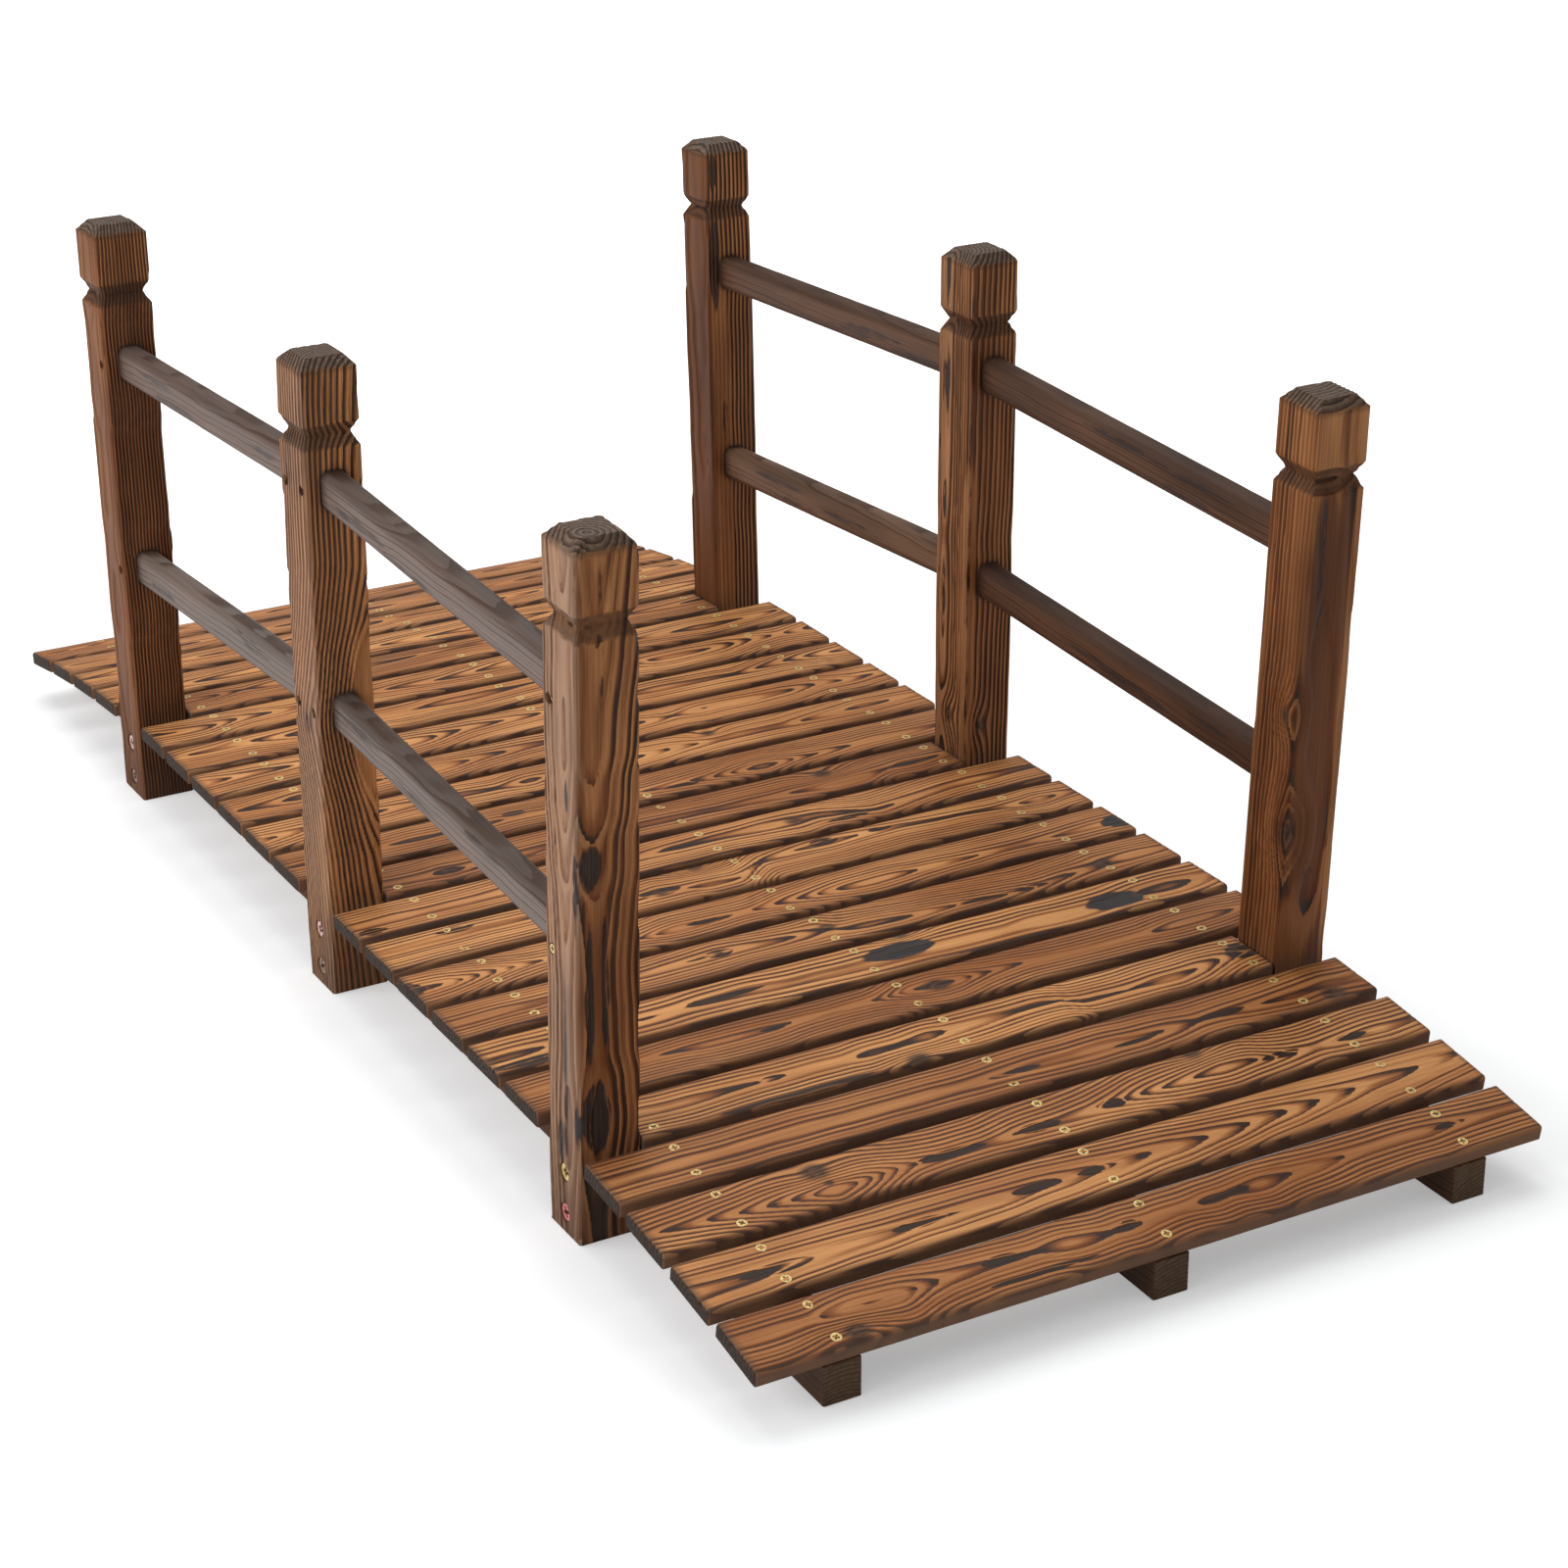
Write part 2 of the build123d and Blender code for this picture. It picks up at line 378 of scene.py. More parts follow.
class Shader:
    """The node tree of a material or world, with short calls to add and join nodes."""

    def __init__(self, owner):
        owner.use_nodes = True
        self.tree = owner.node_tree
        self.tree.nodes.clear()

    def node(self, kind, inputs=(), **settings):
        """A new node. inputs holds what goes into its inputs, by their names or numbers."""
        made = self.tree.nodes.new(kind)
        for name, value in settings.items():
            setattr(made, name, value)
        for name, value in dict(inputs).items():
            socket = made.inputs[name]
            if hasattr(value, "is_output"):
                self.tree.links.new(value, socket)
            else:
                socket.default_value = (*value, 1) if socket.type == "RGBA" else value
        return made

    def math(self, operation, *values, clamp=False):
        inputs = enumerate(values)
        return self.node("ShaderNodeMath", inputs, operation=operation, use_clamp=clamp).outputs[0]

    def times(self, first, second, clamp=False):
        return self.math("MULTIPLY", first, second, clamp=clamp)

    def vector(self, operation, *values):
        return self.node("ShaderNodeVectorMath", enumerate(values), operation=operation).outputs[0]

    def noise(self, vector, scale, detail=2.0, roughness=0.5):
        stretched = self.vector("MULTIPLY", vector, scale)
        inputs = {"Vector": stretched, "Scale": 1.0, "Detail": detail, "Roughness": roughness}
        return self.node("ShaderNodeTexNoise", inputs).outputs["Fac"]

    def step(self, value, low, high):
        """0 below low, 1 above high, and an eased step between them."""
        inputs = {"Value": value, "From Min": low, "From Max": high}
        return self.node("ShaderNodeMapRange", inputs, interpolation_type="SMOOTHSTEP").outputs["Result"]

    def span(self, value, low, high):
        """A value from 0 to 1, spread from low to high."""
        inputs = {"Value": value, "To Min": low, "To Max": high}
        return self.node("ShaderNodeMapRange", inputs).outputs["Result"]

    def mix(self, share, first, second, blend="MIX"):
        inputs = {"Factor": share, 6: first, 7: second}
        return self.node("ShaderNodeMix", inputs, data_type="RGBA", blend_type=blend).outputs[2]

    def ramp(self, value, stops):
        """Colours or levels of grey at places from 0 to 1."""
        made = self.node("ShaderNodeValToRGB", {0: value})
        elements = made.color_ramp.elements
        while len(elements) < len(stops):
            elements.new(0.5)
        for element, (place, level) in zip(elements, stops):
            element.position = place
            element.color = (level, level, level, 1) if isinstance(level, float) else (*level, 1)
        return made.outputs["Color"]

    def attribute(self, name):
        return self.node("ShaderNodeAttribute", attribute_type="GEOMETRY", attribute_name=name).outputs

    def parts(self, name):
        """The three numbers of a vector attribute."""
        return self.node("ShaderNodeSeparateXYZ", {0: self.attribute(name)["Vector"]}).outputs

    def surface(self, colour, roughness, height, relief, relief_depth, **gloss):
        """The material's surface, with a bump of some strength and depth."""
        inputs = {"Strength": relief, "Distance": relief_depth, "Height": height}
        normal = self.node("ShaderNodeBump", inputs).outputs["Normal"]
        inputs = {"Base Color": colour, "Roughness": roughness, "Normal": normal, **gloss}
        shader = self.node("ShaderNodeBsdfPrincipled", inputs)
        self.node("ShaderNodeOutputMaterial", {"Surface": shader.outputs[0]})


# Colours that all woods share, each pair from dark to light
SLATE = (0.024, 0.020, 0.021), (0.072, 0.063, 0.064)
SOOT = (0.024, 0.013, 0.009), (0.062, 0.034, 0.021)
KNOT = (0.022, 0.014, 0.011), (0.115, 0.064, 0.040)
RUST = (0.50, 0.37, 0.29)

# Each board's own tint: low is redder and darker, high is yellower and lighter
TONES = [
    (0.0, (0.34, 0.27, 0.23)), (0.25, (0.66, 0.57, 0.51)),
    (0.5, (0.95, 0.92, 0.88)), (1.0, (1.12, 1.15, 1.10)),
]


def ring_lines(s, places, burn, faintest, late_start, contrast):
    """The rings' dark lines, where in its ring each place is, and the scorches, all from 0 to 1."""
    broad, scorched, plain = burn
    wiggle = s.span(s.noise(places, (14, 240, 240), detail=3), -0.15, 0.15)
    rings = s.math("ADD", s.attribute("rings")["Fac"], wiggle)
    chance = s.node("ShaderNodeTexWhiteNoise", {"W": s.math("FLOOR", rings)}, noise_dimensions="1D")
    bold = s.step(chance.outputs["Value"], 0.38, 0.62)
    ragged = s.span(s.noise(places, (45, 150, 150), detail=4), -0.26, 0.26)
    scorch = s.step(s.math("ADD", scorched, ragged), 0.34, 0.68)
    widening = s.times(broad, s.span(bold, -0.35, 0.22))
    widening = s.math("MAXIMUM", widening, s.times(scorch, 0.80))
    share = s.math("POWER", s.math("FRACT", rings), s.math("SUBTRACT", 1.0, widening))
    late = s.ramp(share, [
        (0.0, 0.0), (late_start, 0.0), (late_start + 0.20, 0.40), (0.80, 0.98), (0.95, 1.0), (0.99, 0.0),
    ])
    patches = s.span(s.step(s.noise(places, (4, 30, 30), detail=2), 0.3, 0.6), 0.7, 1.0)
    strength = s.times(s.math("MAXIMUM", bold, faintest), patches)
    strength = s.math("MAXIMUM", strength, s.times(broad, 0.9))
    strength = s.times(strength, s.span(plain, 1.0, 0.10))
    strength = s.math("MAXIMUM", strength, scorch)
    return s.times(s.times(late, strength), contrast, clamp=True), late, scorch


def wood_material(
    name, light, middle, dark, weathered_and_sheen, char_and_shade_colour, end_light, end_dark, late_start, contrast, gloss, relief,
):
    """Charred and brushed fir, from the rings and places that each mesh carries."""
    material = bpy.data.materials.new(name)
    s = Shader(material)
    places = s.attribute("places")["Vector"]
    finish = s.attribute("finish")
    char_and_shade, knot, end = s.node("ShaderNodeSeparateColor", {0: finish["Color"]}).outputs
    burn = s.parts("burn")
    broad = burn[0]
    weather_and_sheen, slate, faintest = s.parts("look")
    lines, late, scorch = ring_lines(s, places, burn, faintest, late_start, contrast)

    streaks = s.noise(places, (10, 1000, 1000), detail=3, roughness=0.65)
    clouds = s.noise(places, (6, 36, 36), detail=2)
    base = s.mix(s.step(clouds, 0.3, 0.7), light, middle)
    # Grey weathering; on the posts' left faces this grey is painted sheen
    base = s.mix(s.times(weather_and_sheen, s.span(clouds, 0.7, 1.1), clamp=True), base, weathered_and_sheen)
    base = s.mix(1.0, base, s.ramp(streaks, [(0.3, 0.72), (0.52, 1.0), (0.7, 1.22)]), blend="MULTIPLY")
    base = s.mix(1.0, base, s.ramp(finish["Alpha"], TONES), blend="MULTIPLY")
    rust = s.mix(1.0, base, RUST, blend="MULTIPLY")
    colour = s.mix(s.times(s.step(lines, 0.04, 0.5), 0.9), base, rust)
    faint_line = [2.2 * level for level in dark]
    line_colour = s.mix(s.math("MAXIMUM", broad, scorch), faint_line, dark)
    colour = s.mix(s.step(lines, 0.42, 0.92), colour, line_colour)

    grey, soot = (s.mix(s.step(streaks, 0.35, 0.65), *pair) for pair in (SLATE, SOOT))
    licks = s.step(s.noise(places, (5, 40, 40), detail=3), 0.35, 0.6)
    flame = s.times(s.times(broad, s.step(lines, 0.4, 0.85)), licks)
    colour = s.mix(s.times(flame, 0.6), colour, s.mix(0.3, soot, grey))
    scorch_share = s.times(scorch, s.math("MAXIMUM", s.step(lines, 0.3, 0.9), slate))
    colour = s.mix(s.times(scorch_share, 0.93), colour, s.mix(slate, soot, grey))

    swirl = s.noise(places, (110, 300, 300), detail=4)
    colour = s.mix(s.times(knot, 0.85), colour, s.mix(s.step(swirl, 0.38, 0.62), *KNOT))

    uneven = s.span(s.noise(places, (9, 60, 60), detail=2), 0.85, 1.15)
    # Charring, and painted shade in plank gaps, round rail joints, on rail tops and undersides, and in screw
    # recesses
    colour = s.mix(s.times(char_and_shade, uneven, clamp=True), colour, s.mix(0.7, soot, char_and_shade_colour))
    end_streaks = s.ramp(s.noise(places, (300, 300, 300), detail=3), [(0.3, 0.6), (0.7, 1.3)])
    end_grain = s.mix(1.0, end_light, end_streaks, blend="MULTIPLY")
    colour = s.mix(s.times(end, 0.94), colour, s.mix(late, end_grain, end_dark))

    rough = s.span(s.math("ADD", s.times(lines, -0.4), streaks), gloss, gloss + 0.22)
    rough = s.math("ADD", rough, s.times(char_and_shade, 0.25))
    height = s.math("SUBTRACT", s.times(streaks, 0.3), lines)
    s.surface(colour, rough, height, relief, 0.0005, **{"Specular IOR Level": 0.12})
    return material


def metal_material(name, colour, roughness):
    """Passivated screw heads, with dirty patches and painted shade in their crosses."""
    material = bpy.data.materials.new(name)
    s = Shader(material)
    dirt = s.noise(s.node("ShaderNodeTexCoord").outputs["Object"], (420, 420, 420), detail=3)
    dirty = [level * share for level, share in zip(colour, (0.5, 0.45, 0.38))]
    tint = s.mix(s.step(dirt, 0.45, 0.8), colour, dirty)
    # Painted shade, near black, in the cross recesses
    tint = s.mix(s.attribute("grime")["Fac"], tint, (0.035, 0.024, 0.014))
    rough = s.span(dirt, roughness - 0.08, roughness + 0.15)
    s.surface(tint, rough, dirt, 0.25, 0.0001, Metallic=0.2)
    return material


deck_wood = wood_material(
    "deck_fir", (0.74, 0.35, 0.132), (0.54, 0.222, 0.078), (0.048, 0.020, 0.011),
    weathered_and_sheen=(0.20, 0.15, 0.12), char_and_shade_colour=(0.170, 0.102, 0.072),
    end_light=(0.046, 0.033, 0.027), end_dark=(0.018, 0.013, 0.011),
    late_start=0.36, contrast=1.25, gloss=0.44, relief=0.8,
)
post_wood = wood_material(
    "post_fir", (0.50, 0.225, 0.090), (0.30, 0.125, 0.048), (0.024, 0.011, 0.006),
    weathered_and_sheen=(0.285, 0.213, 0.168), char_and_shade_colour=(0.056, 0.034, 0.025),
    end_light=(0.17, 0.112, 0.078), end_dark=(0.040, 0.026, 0.020),
    late_start=0.22, contrast=1.3, gloss=0.42, relief=0.9,
)
rail_wood = wood_material(
    "rail_fir", (0.20, 0.108, 0.066), (0.11, 0.058, 0.037), (0.030, 0.018, 0.014),
    weathered_and_sheen=(0.178, 0.146, 0.138), char_and_shade_colour=(0.056, 0.034, 0.025),
    end_light=(0.10, 0.07, 0.05), end_dark=(0.03, 0.02, 0.016),
    late_start=0.3, contrast=0.8, gloss=0.40, relief=0.5,
)
stringer_wood = wood_material(
    "stringer_fir", (0.17, 0.080, 0.040), (0.095, 0.045, 0.023), (0.02, 0.012, 0.008),
    weathered_and_sheen=(0.12, 0.09, 0.07), char_and_shade_colour=(0.056, 0.034, 0.025),
    end_light=(0.112, 0.068, 0.036), end_dark=(0.056, 0.033, 0.018),
    late_start=0.3, contrast=0.9, gloss=0.45, relief=0.6,
)
brass = metal_material("yellow_passivated_steel", (0.76, 0.57, 0.21), 0.42)
brown_steel = metal_material("brown_stained_steel", (0.34, 0.23, 0.17), 0.46)
pink_steel = metal_material("pink_painted_steel", (0.72, 0.20, 0.21), 0.42)
pale_steel = metal_material("pale_pink_steel", (0.82, 0.52, 0.48), 0.42)

# The log that each front plank was cut from: its ring width and its pith's depth under the face in
# millimetres, then places along the plank, the pith's place across there, and the ring that lies on the face
# there. At a whole number one ring ends in a dark point, and a deep pith makes that point blunt. Where the
# numbers fall and rise again the rings close into an eye.
PLANK_LOGS = {
    1: (4.0, 8, [
        (-335, 4, 2.2), (-300, 3, 2.1), (-275, 2, 2), (-262, 2, 1), (-240, 2, 0.4), (-205, 2, 1),
        (-190, 3, 2), (-172, 3, 3), (-155, 3, 3.4), (-140, 3, 3.72), (-100, 2, 3.95), (-97, 2, 4.0),
        (-70, 1, 3.2), (-38, 0, 4.0), (-35, 0, 4.2), (-32, 0, 4.0), (-18, 0, 3.6), (-5, 0, 4.0),
        (0, 0, 4.1), (5, 1, 3.9), (12, 1, 4.1), (35, 1, 4.35), (45, 1, 4.0), (52, 1, 3.85), (60, 1, 4.0),
        (66, 2, 4.2), (72, 2, 4.0), (97, 2, 3.2), (122, 3, 4.0), (150, 3, 4.6), (175, 3, 5.0),
        (215, 2, 5.15), (245, 2, 5.4), (262, 2, 5.7), (290, 1, 6.0), (335, 0, 6.35),
    ]),
    2: (3.9, 11, [
        (-335, -7, 0.1), (-300, -6, 0.55), (-235, -5, 1), (-130, -4, 2), (-45, -3, 3), (8, -3, 4),
        (65, -3, 5), (95, -3, 6), (130, -2, 7), (165, -1, 8), (200, 0, 9), (240, 1, 10), (335, 6, 12),
    ]),
    3: (4.7, 5, [
        (-335, -4, 7.4), (-325, -4, 7), (-290, -5, 6), (-262, -7, 5), (-245, -8, 4), (-228, -9, 3),
        (-215, -9, 2), (-190, -10, 0.3), (-165, -9, 2), (-155, -8, 3), (-145, -8, 4), (-135, -8, 5),
        (-122, -9, 6), (-90, -10, 6.72), (-60, -10, 6.8), (-35, -9, 6), (35, -8, 5), (62, -6, 4),
        (80, -5, 3), (100, -4, 2), (125, -3, 1), (155, -2, 0.0), (185, -3, 1), (200, -6, 2), (220, -8, 3),
        (238, -8, 3.5), (255, -8, 3), (300, -8, 2.2), (335, -8, 2.6),
    ]),
    4: (4.5, 8, [
        (-335, -3, 2.1), (-300, -3, 2.14), (-150, -3, 2.14), (-40, -4, 2.1), (-14, -5, 2.0), (5, -5, 1.75),
        (25, -5, 1.5), (45, -6, 1.3), (75, -6, 1.2), (100, -6, 1.3), (120, -7, 1.55), (142, -6, 1.9),
        (150, -6, 2.0), (165, -5, 2.5), (176, -5, 3.1), (195, -5, 3.0), (240, -6, 2), (268, -7, 1),
        (305, -8, 0.2), (335, -8, 0.9),
    ]),
    5: (4.3, 8.5, [
        (-270, 4, 0.5), (-230, 3, 0.25), (-200, 3, 0.5), (-168, 2, 1.0), (-130, 2, 1.25), (-96, 1, 1.08),
        (-92, 1, 1.0), (-86, 0, 0.6), (-76, 0, 0.3), (-50, -1, 0.1), (-24, 1, 0.3), (-14, 2, 0.6),
        (-8, 2, 1.0), (-2, 2, 1.1), (30, 2, 1.35), (60, 3, 1.75), (80, 3, 2.0), (100, 1, 2.3),
        (112, -8, 2.0), (160, -8, 1.75), (200, -8, 1.6), (228, -4, 2.0), (240, -2, 2.6), (250, 0, 3),
        (262, 1, 3.7), (280, 0, 4.2),
    ]),
    6: (4.2, 5, [
        (-335, 3, 4.4), (-225, 6, 4.35), (-200, 6, 4), (-190, 6, 3.6), (-176, 5, 3.3), (-150, 4, 3.2),
        (-126, 3, 3.3), (-114, 2, 3.6), (-105, 2, 4), (-65, 3, 4.35), (-28, 3, 4), (-15, 3, 3), (-5, 3, 2),
        (5, 3, 1), (28, 3, 0.3), (45, 2, 1), (58, 2, 2), (75, 2, 3), (105, 1, 4), (150, -2, 4.35),
        (205, -3, 4.3), (225, -3, 4), (234, -3, 3.6), (248, -3, 3.3), (268, -3, 3.2), (290, -3, 3.3),
        (303, -3, 3.6), (312, -3, 4), (335, -3, 4.3),
    ]),
    7: (4.8, 16, [
        (-335, -8, 1.7), (-240, -4, 2.2), (-165, 0, 2), (-150, 0, 1.85), (-110, 0, 1.75), (-60, -5, 1.6),
        (33, -8, 1.3), (130, -10, 1.3), (236, -8, 1.3), (268, -6, 1), (292, -5, 0.7), (314, -5, 1),
        (335, -4, 1.3),
    ]),
    8: (4.3, 6, [
        (-335, -4, 2.2), (-200, 0, 2.5), (-130, 2, 2), (-95, 3, 1.5), (-75, 3, 2), (-30, 0, 2.6), (0, 0, 2),
        (20, -8, 3), (70, -15, 4), (112, -16, 5), (160, -17, 6), (200, -17, 7), (240, -10, 7.6),
        (268, -8, 7), (300, -6, 7.7), (335, -6, 8.2),
    ]),
    9: (4.1, 6.5, [
        (-335, -2, 0.4), (-305, -2, 1), (-290, -2, 2), (-276, -2, 3), (-262, -2, 4), (-248, -3, 5),
        (-228, -3, 6), (-190, -5, 6.6), (-135, -6, 6), (-120, -6, 5), (-100, -6, 4.4), (-75, -6, 4.8),
        (-45, -6, 5.2), (-30, -6, 5), (-12, -6, 4), (5, -6, 3), (25, -7, 2), (45, -7, 1), (53, -7, 0.6),
        (64, -7, 0.3), (85, -7, 0.2), (106, -7, 0.3), (117, -7, 0.6), (125, -7, 1), (150, -7, 1.4),
        (200, -7, 2.2), (240, -6, 2.3), (255, -6, 2), (275, -6, 1.6), (335, -7, 1.2),
    ]),
    10: (4.2, 6.5, [
        (-335, 6, 1.4), (-200, 8, 1.7), (-110, -8, 2), (-82, -6, 1.2), (-60, -8, 2), (-40, -12, 1.6),
        (-10, -12, 2), (20, 8, 2.6), (60, 12, 2), (90, 14, 1.1), (120, 12, 2), (150, 12, 2.7), (250, 4, 3),
        (280, 0, 2), (295, 0, 1.4), (312, 0, 2), (335, 0, 2.6),
    ]),
    11: (4.3, 8.5, [
        (-335, -6, 3.4), (-200, -4, 3.2), (-60, 0, 3.1), (20, 3, 2.6), (50, 3, 2), (86, 1, 1.2),
        (110, 1, 2), (140, -6, 2.7), (160, -14, 3), (240, 0, 3.3), (335, -2, 3.6),
    ]),
    12: (4.3, 8, [
        (-335, -6, 2.3), (-240, -9, 2), (-220, -9, 1.3), (-200, -9, 2), (-100, -6, 2.8), (0, -8, 2.6),
        (60, -10, 2.4), (100, -12, 2), (155, -12, 0.7), (185, -12, 1), (200, -8, 1.6), (215, -5, 2),
        (240, -5, 1.3), (262, -5, 2), (290, -5, 2.5),
    ]),
    13: (4.2, 6.5, [
        (-335, -3, 5), (-260, -3, 4), (-215, -4, 3.5), (-180, -4, 4), (-130, -4, 5), (-60, -6, 5.4),
        (0, -8, 5), (40, -10, 4), (70, -12, 3), (90, -12, 2), (103, -12, 1), (120, -12, 0.2), (137, -12, 1),
        (152, -12, 2), (172, -12, 3), (220, -10, 4), (335, -6, 4.6),
    ]),
}

# Half a full plank's length in millimetres
PLANK_REACH = 335.0

# Knots in the deck, by plank: along, across and radius, in millimetres, and how far they bend the rings
PLANK_KNOTS = {
    1: [(-252, -19, 10, 1)],
    3: [(-192, 13, 11, 1), (-189, -3, 4, 0), (145, 26, 9, 1)],
    4: [(298, -18, 11, 0.5)],
    5: [(-45, -25, 10, 0.8)],
    6: [(28, 2, 11, 0)],
    7: [(48, 27, 8, 1)],
    8: [(-95, 3, 5, 0.2), (4, 1, 8, 0.6), (268, -8, 8, 0.6)],
    10: [(-35, 24, 7, 1), (-82, -4, 7, 0.3), (88, 17, 5, 0.3)],
    11: [(86, 1, 9, 0.3)],
    12: [(158, 12, 9, 1), (-218, -10, 6, 0.3)],
    14: [(114, 14, 7, 1)],
    15: [(22, 10, 7, 1)],
    17: [(126, 3, 7, 0.5)],
    19: [(-150, -6, 7, 1)],
}

# Scorches in the deck, by plank: along, across, half length and half width in millimetres, and how
# slate-coloured rather than sooty each one is. They are drawn a little shorter, by SCORCH_LENGTH.
SCORCH_LENGTH = 0.8
PLANK_SCORCHES = {
    1: [
        (-122, 5, 22, 5, 0.1), (-18, 0, 12, 6, 0.1), (80, 2, 9, 4, 0.1), (270, 2, 20, 3, 0),
        (-100, -17, 60, 3, 0),
    ],
    2: [(-268, -6, 38, 6, 0), (-152, -4, 30, 5, 0), (-58, -3, 24, 5, 0), (-4, -3, 22, 4, 0)],
    3: [
        (-92, -9, 40, 5, 0), (-16, -8, 26, 6, 0), (52, -6, 18, 6, 0), (206, -6, 22, 4, 0),
        (270, -8, 22, 4, 0),
    ],
    4: [(8, -5, 30, 4, 0.2), (120, -9, 30, 2.5, 0), (208, -5, 18, 4, 0)],
    5: [(272, 2, 18, 12, 0.5), (-158, 2, 16, 4, 0), (70, 3, 14, 3, 0), (-150, -25, 90, 4, 0.3)],
    6: [(-118, 2, 18, 3, 0)],
    7: [(33, 2, 42, 13, 1), (236, -7, 36, 14, 1), (-125, 1, 44, 4, 0.1), (-300, -20, 60, 5, 0.1)],
    8: [(-95, 3, 18, 6, 0), (60, -15, 30, 3, 0), (140, -16, 40, 3, 0), (190, -17, 22, 4, 0)],
    9: [(330, -8, 22, 12, 1), (-78, -5, 20, 4, 0), (-334, 0, 14, 12, 0.3)],
    10: [(-82, -4, 24, 8, 0.2), (140, 15, 16, 4, 0), (85, 16, 18, 6, 0), (-260, 16, 22, 5, 0)],
    11: [(-320, -20, 16, 6, 0), (130, -16, 26, 4, 0)],
    12: [(-218, -10, 20, 6, 0), (236, -5, 26, 4, 0.2), (-170, -16, 40, 3, 0)],
    13: [(-120, 4, 16, 5, 0.4), (40, -14, 26, 4, 0), (-60, 0, 20, 4, 0)],
}

# How light and yellow each front plank is, and how dark its faintest rings are, from 0 to 1.
# Plank 1's low tone is partly painted shade, for its tilt away from the overhead light.
PLANK_TONES_AND_SHADE = {
    1: (0.30, 0.45), 2: (0.52, 0.22), 3: (0.60, 0.85), 4: (0.34, 0.32), 5: (0.80, 0.62), 6: (0.32, 0.42),
    7: (0.80, 0.55), 8: (0.42, 0.60), 9: (0.52, 0.52), 10: (0.85, 0.42), 11: (0.66, 0.48), 12: (0.30, 0.45),
    13: (0.38, 0.55),
}


def random_log(random):
    """A ring width, a pith's depth and its path for a plank that the picture shows less well."""
    places, rings = [-PLANK_REACH], [random.uniform(0.3, 6.0)]
    rising = random.choice((-1, 1))
    while places[-1] < PLANK_REACH:
        places.append(places[-1] + random.uniform(30, 100))
        rings.append(max(rings[-1] + rising * random.uniform(0.5, 2.0), 0.2))
        if rings[-1] == 0.2 or random.uniform() < 0.2:
            rising = -rising
    across = random.uniform(-8, 8) + random.uniform(-4, 4, len(places))
    return random.uniform(3.8, 4.7), random.uniform(6, 10), list(zip(places, across, rings))


def plank_grain(number, half_thickness):
    width, pith_depth, path = PLANK_LOGS.get(number) or random_log(np.random.default_rng(100 + number))
    depth = half_thickness - pith_depth / 1000
    path = [(x / 1000, v / 1000, depth, ring * width / 1000) for x, v, ring in path]
    knots = [
        (x / 1000, v / 1000, half_thickness, radius / 1000, bend)
        for x, v, radius, bend in PLANK_KNOTS.get(number, [])
    ]
    return Grain(1000 + number, width / 1000, path, knots, 0.0007, -pith_depth / width, 0.07)


def plank_section(half_width, half_thickness):
    """Rounded top edges and small bottom chamfers, anticlockwise from the bottom left, seen along +X."""
    w, t = half_width, half_thickness
    r, c = PLANK_TOP_RADIUS, BOTTOM_CHAMFER
    return np.concatenate([
        line((-w + c, -t), (w - c, -t), 8),
        line((w - c, -t), (w, -t + c), 1),
        line((w, -t + c), (w, t - r), 4),
        arc((w - r, t - r), r, 0, 90, 6)[:-1],
        line((w - r, t), (-w + r, t), 62),
        arc((-w + r, t - r), r, 90, 180, 6)[:-1],
        line((-w, t - r), (-w, -t + c), 4),
        line((-w, -t + c), (-w + c, -t), 1),
    ])


def places_along(half_length, spacing, close_to, reach):
    """Places along a board at a spacing, and closer together within reach of some of them."""
    places = [np.linspace(-half_length, half_length, int(2 * half_length / spacing) + 1)]
    for centre in close_to:
        places.append(np.linspace(centre - reach, centre + reach, 17))
    places = np.sort(np.concatenate(places))
    places = places[(places >= -half_length) & (places <= half_length)]
    return places[np.concatenate([[True], np.diff(places) > 0.0004])]


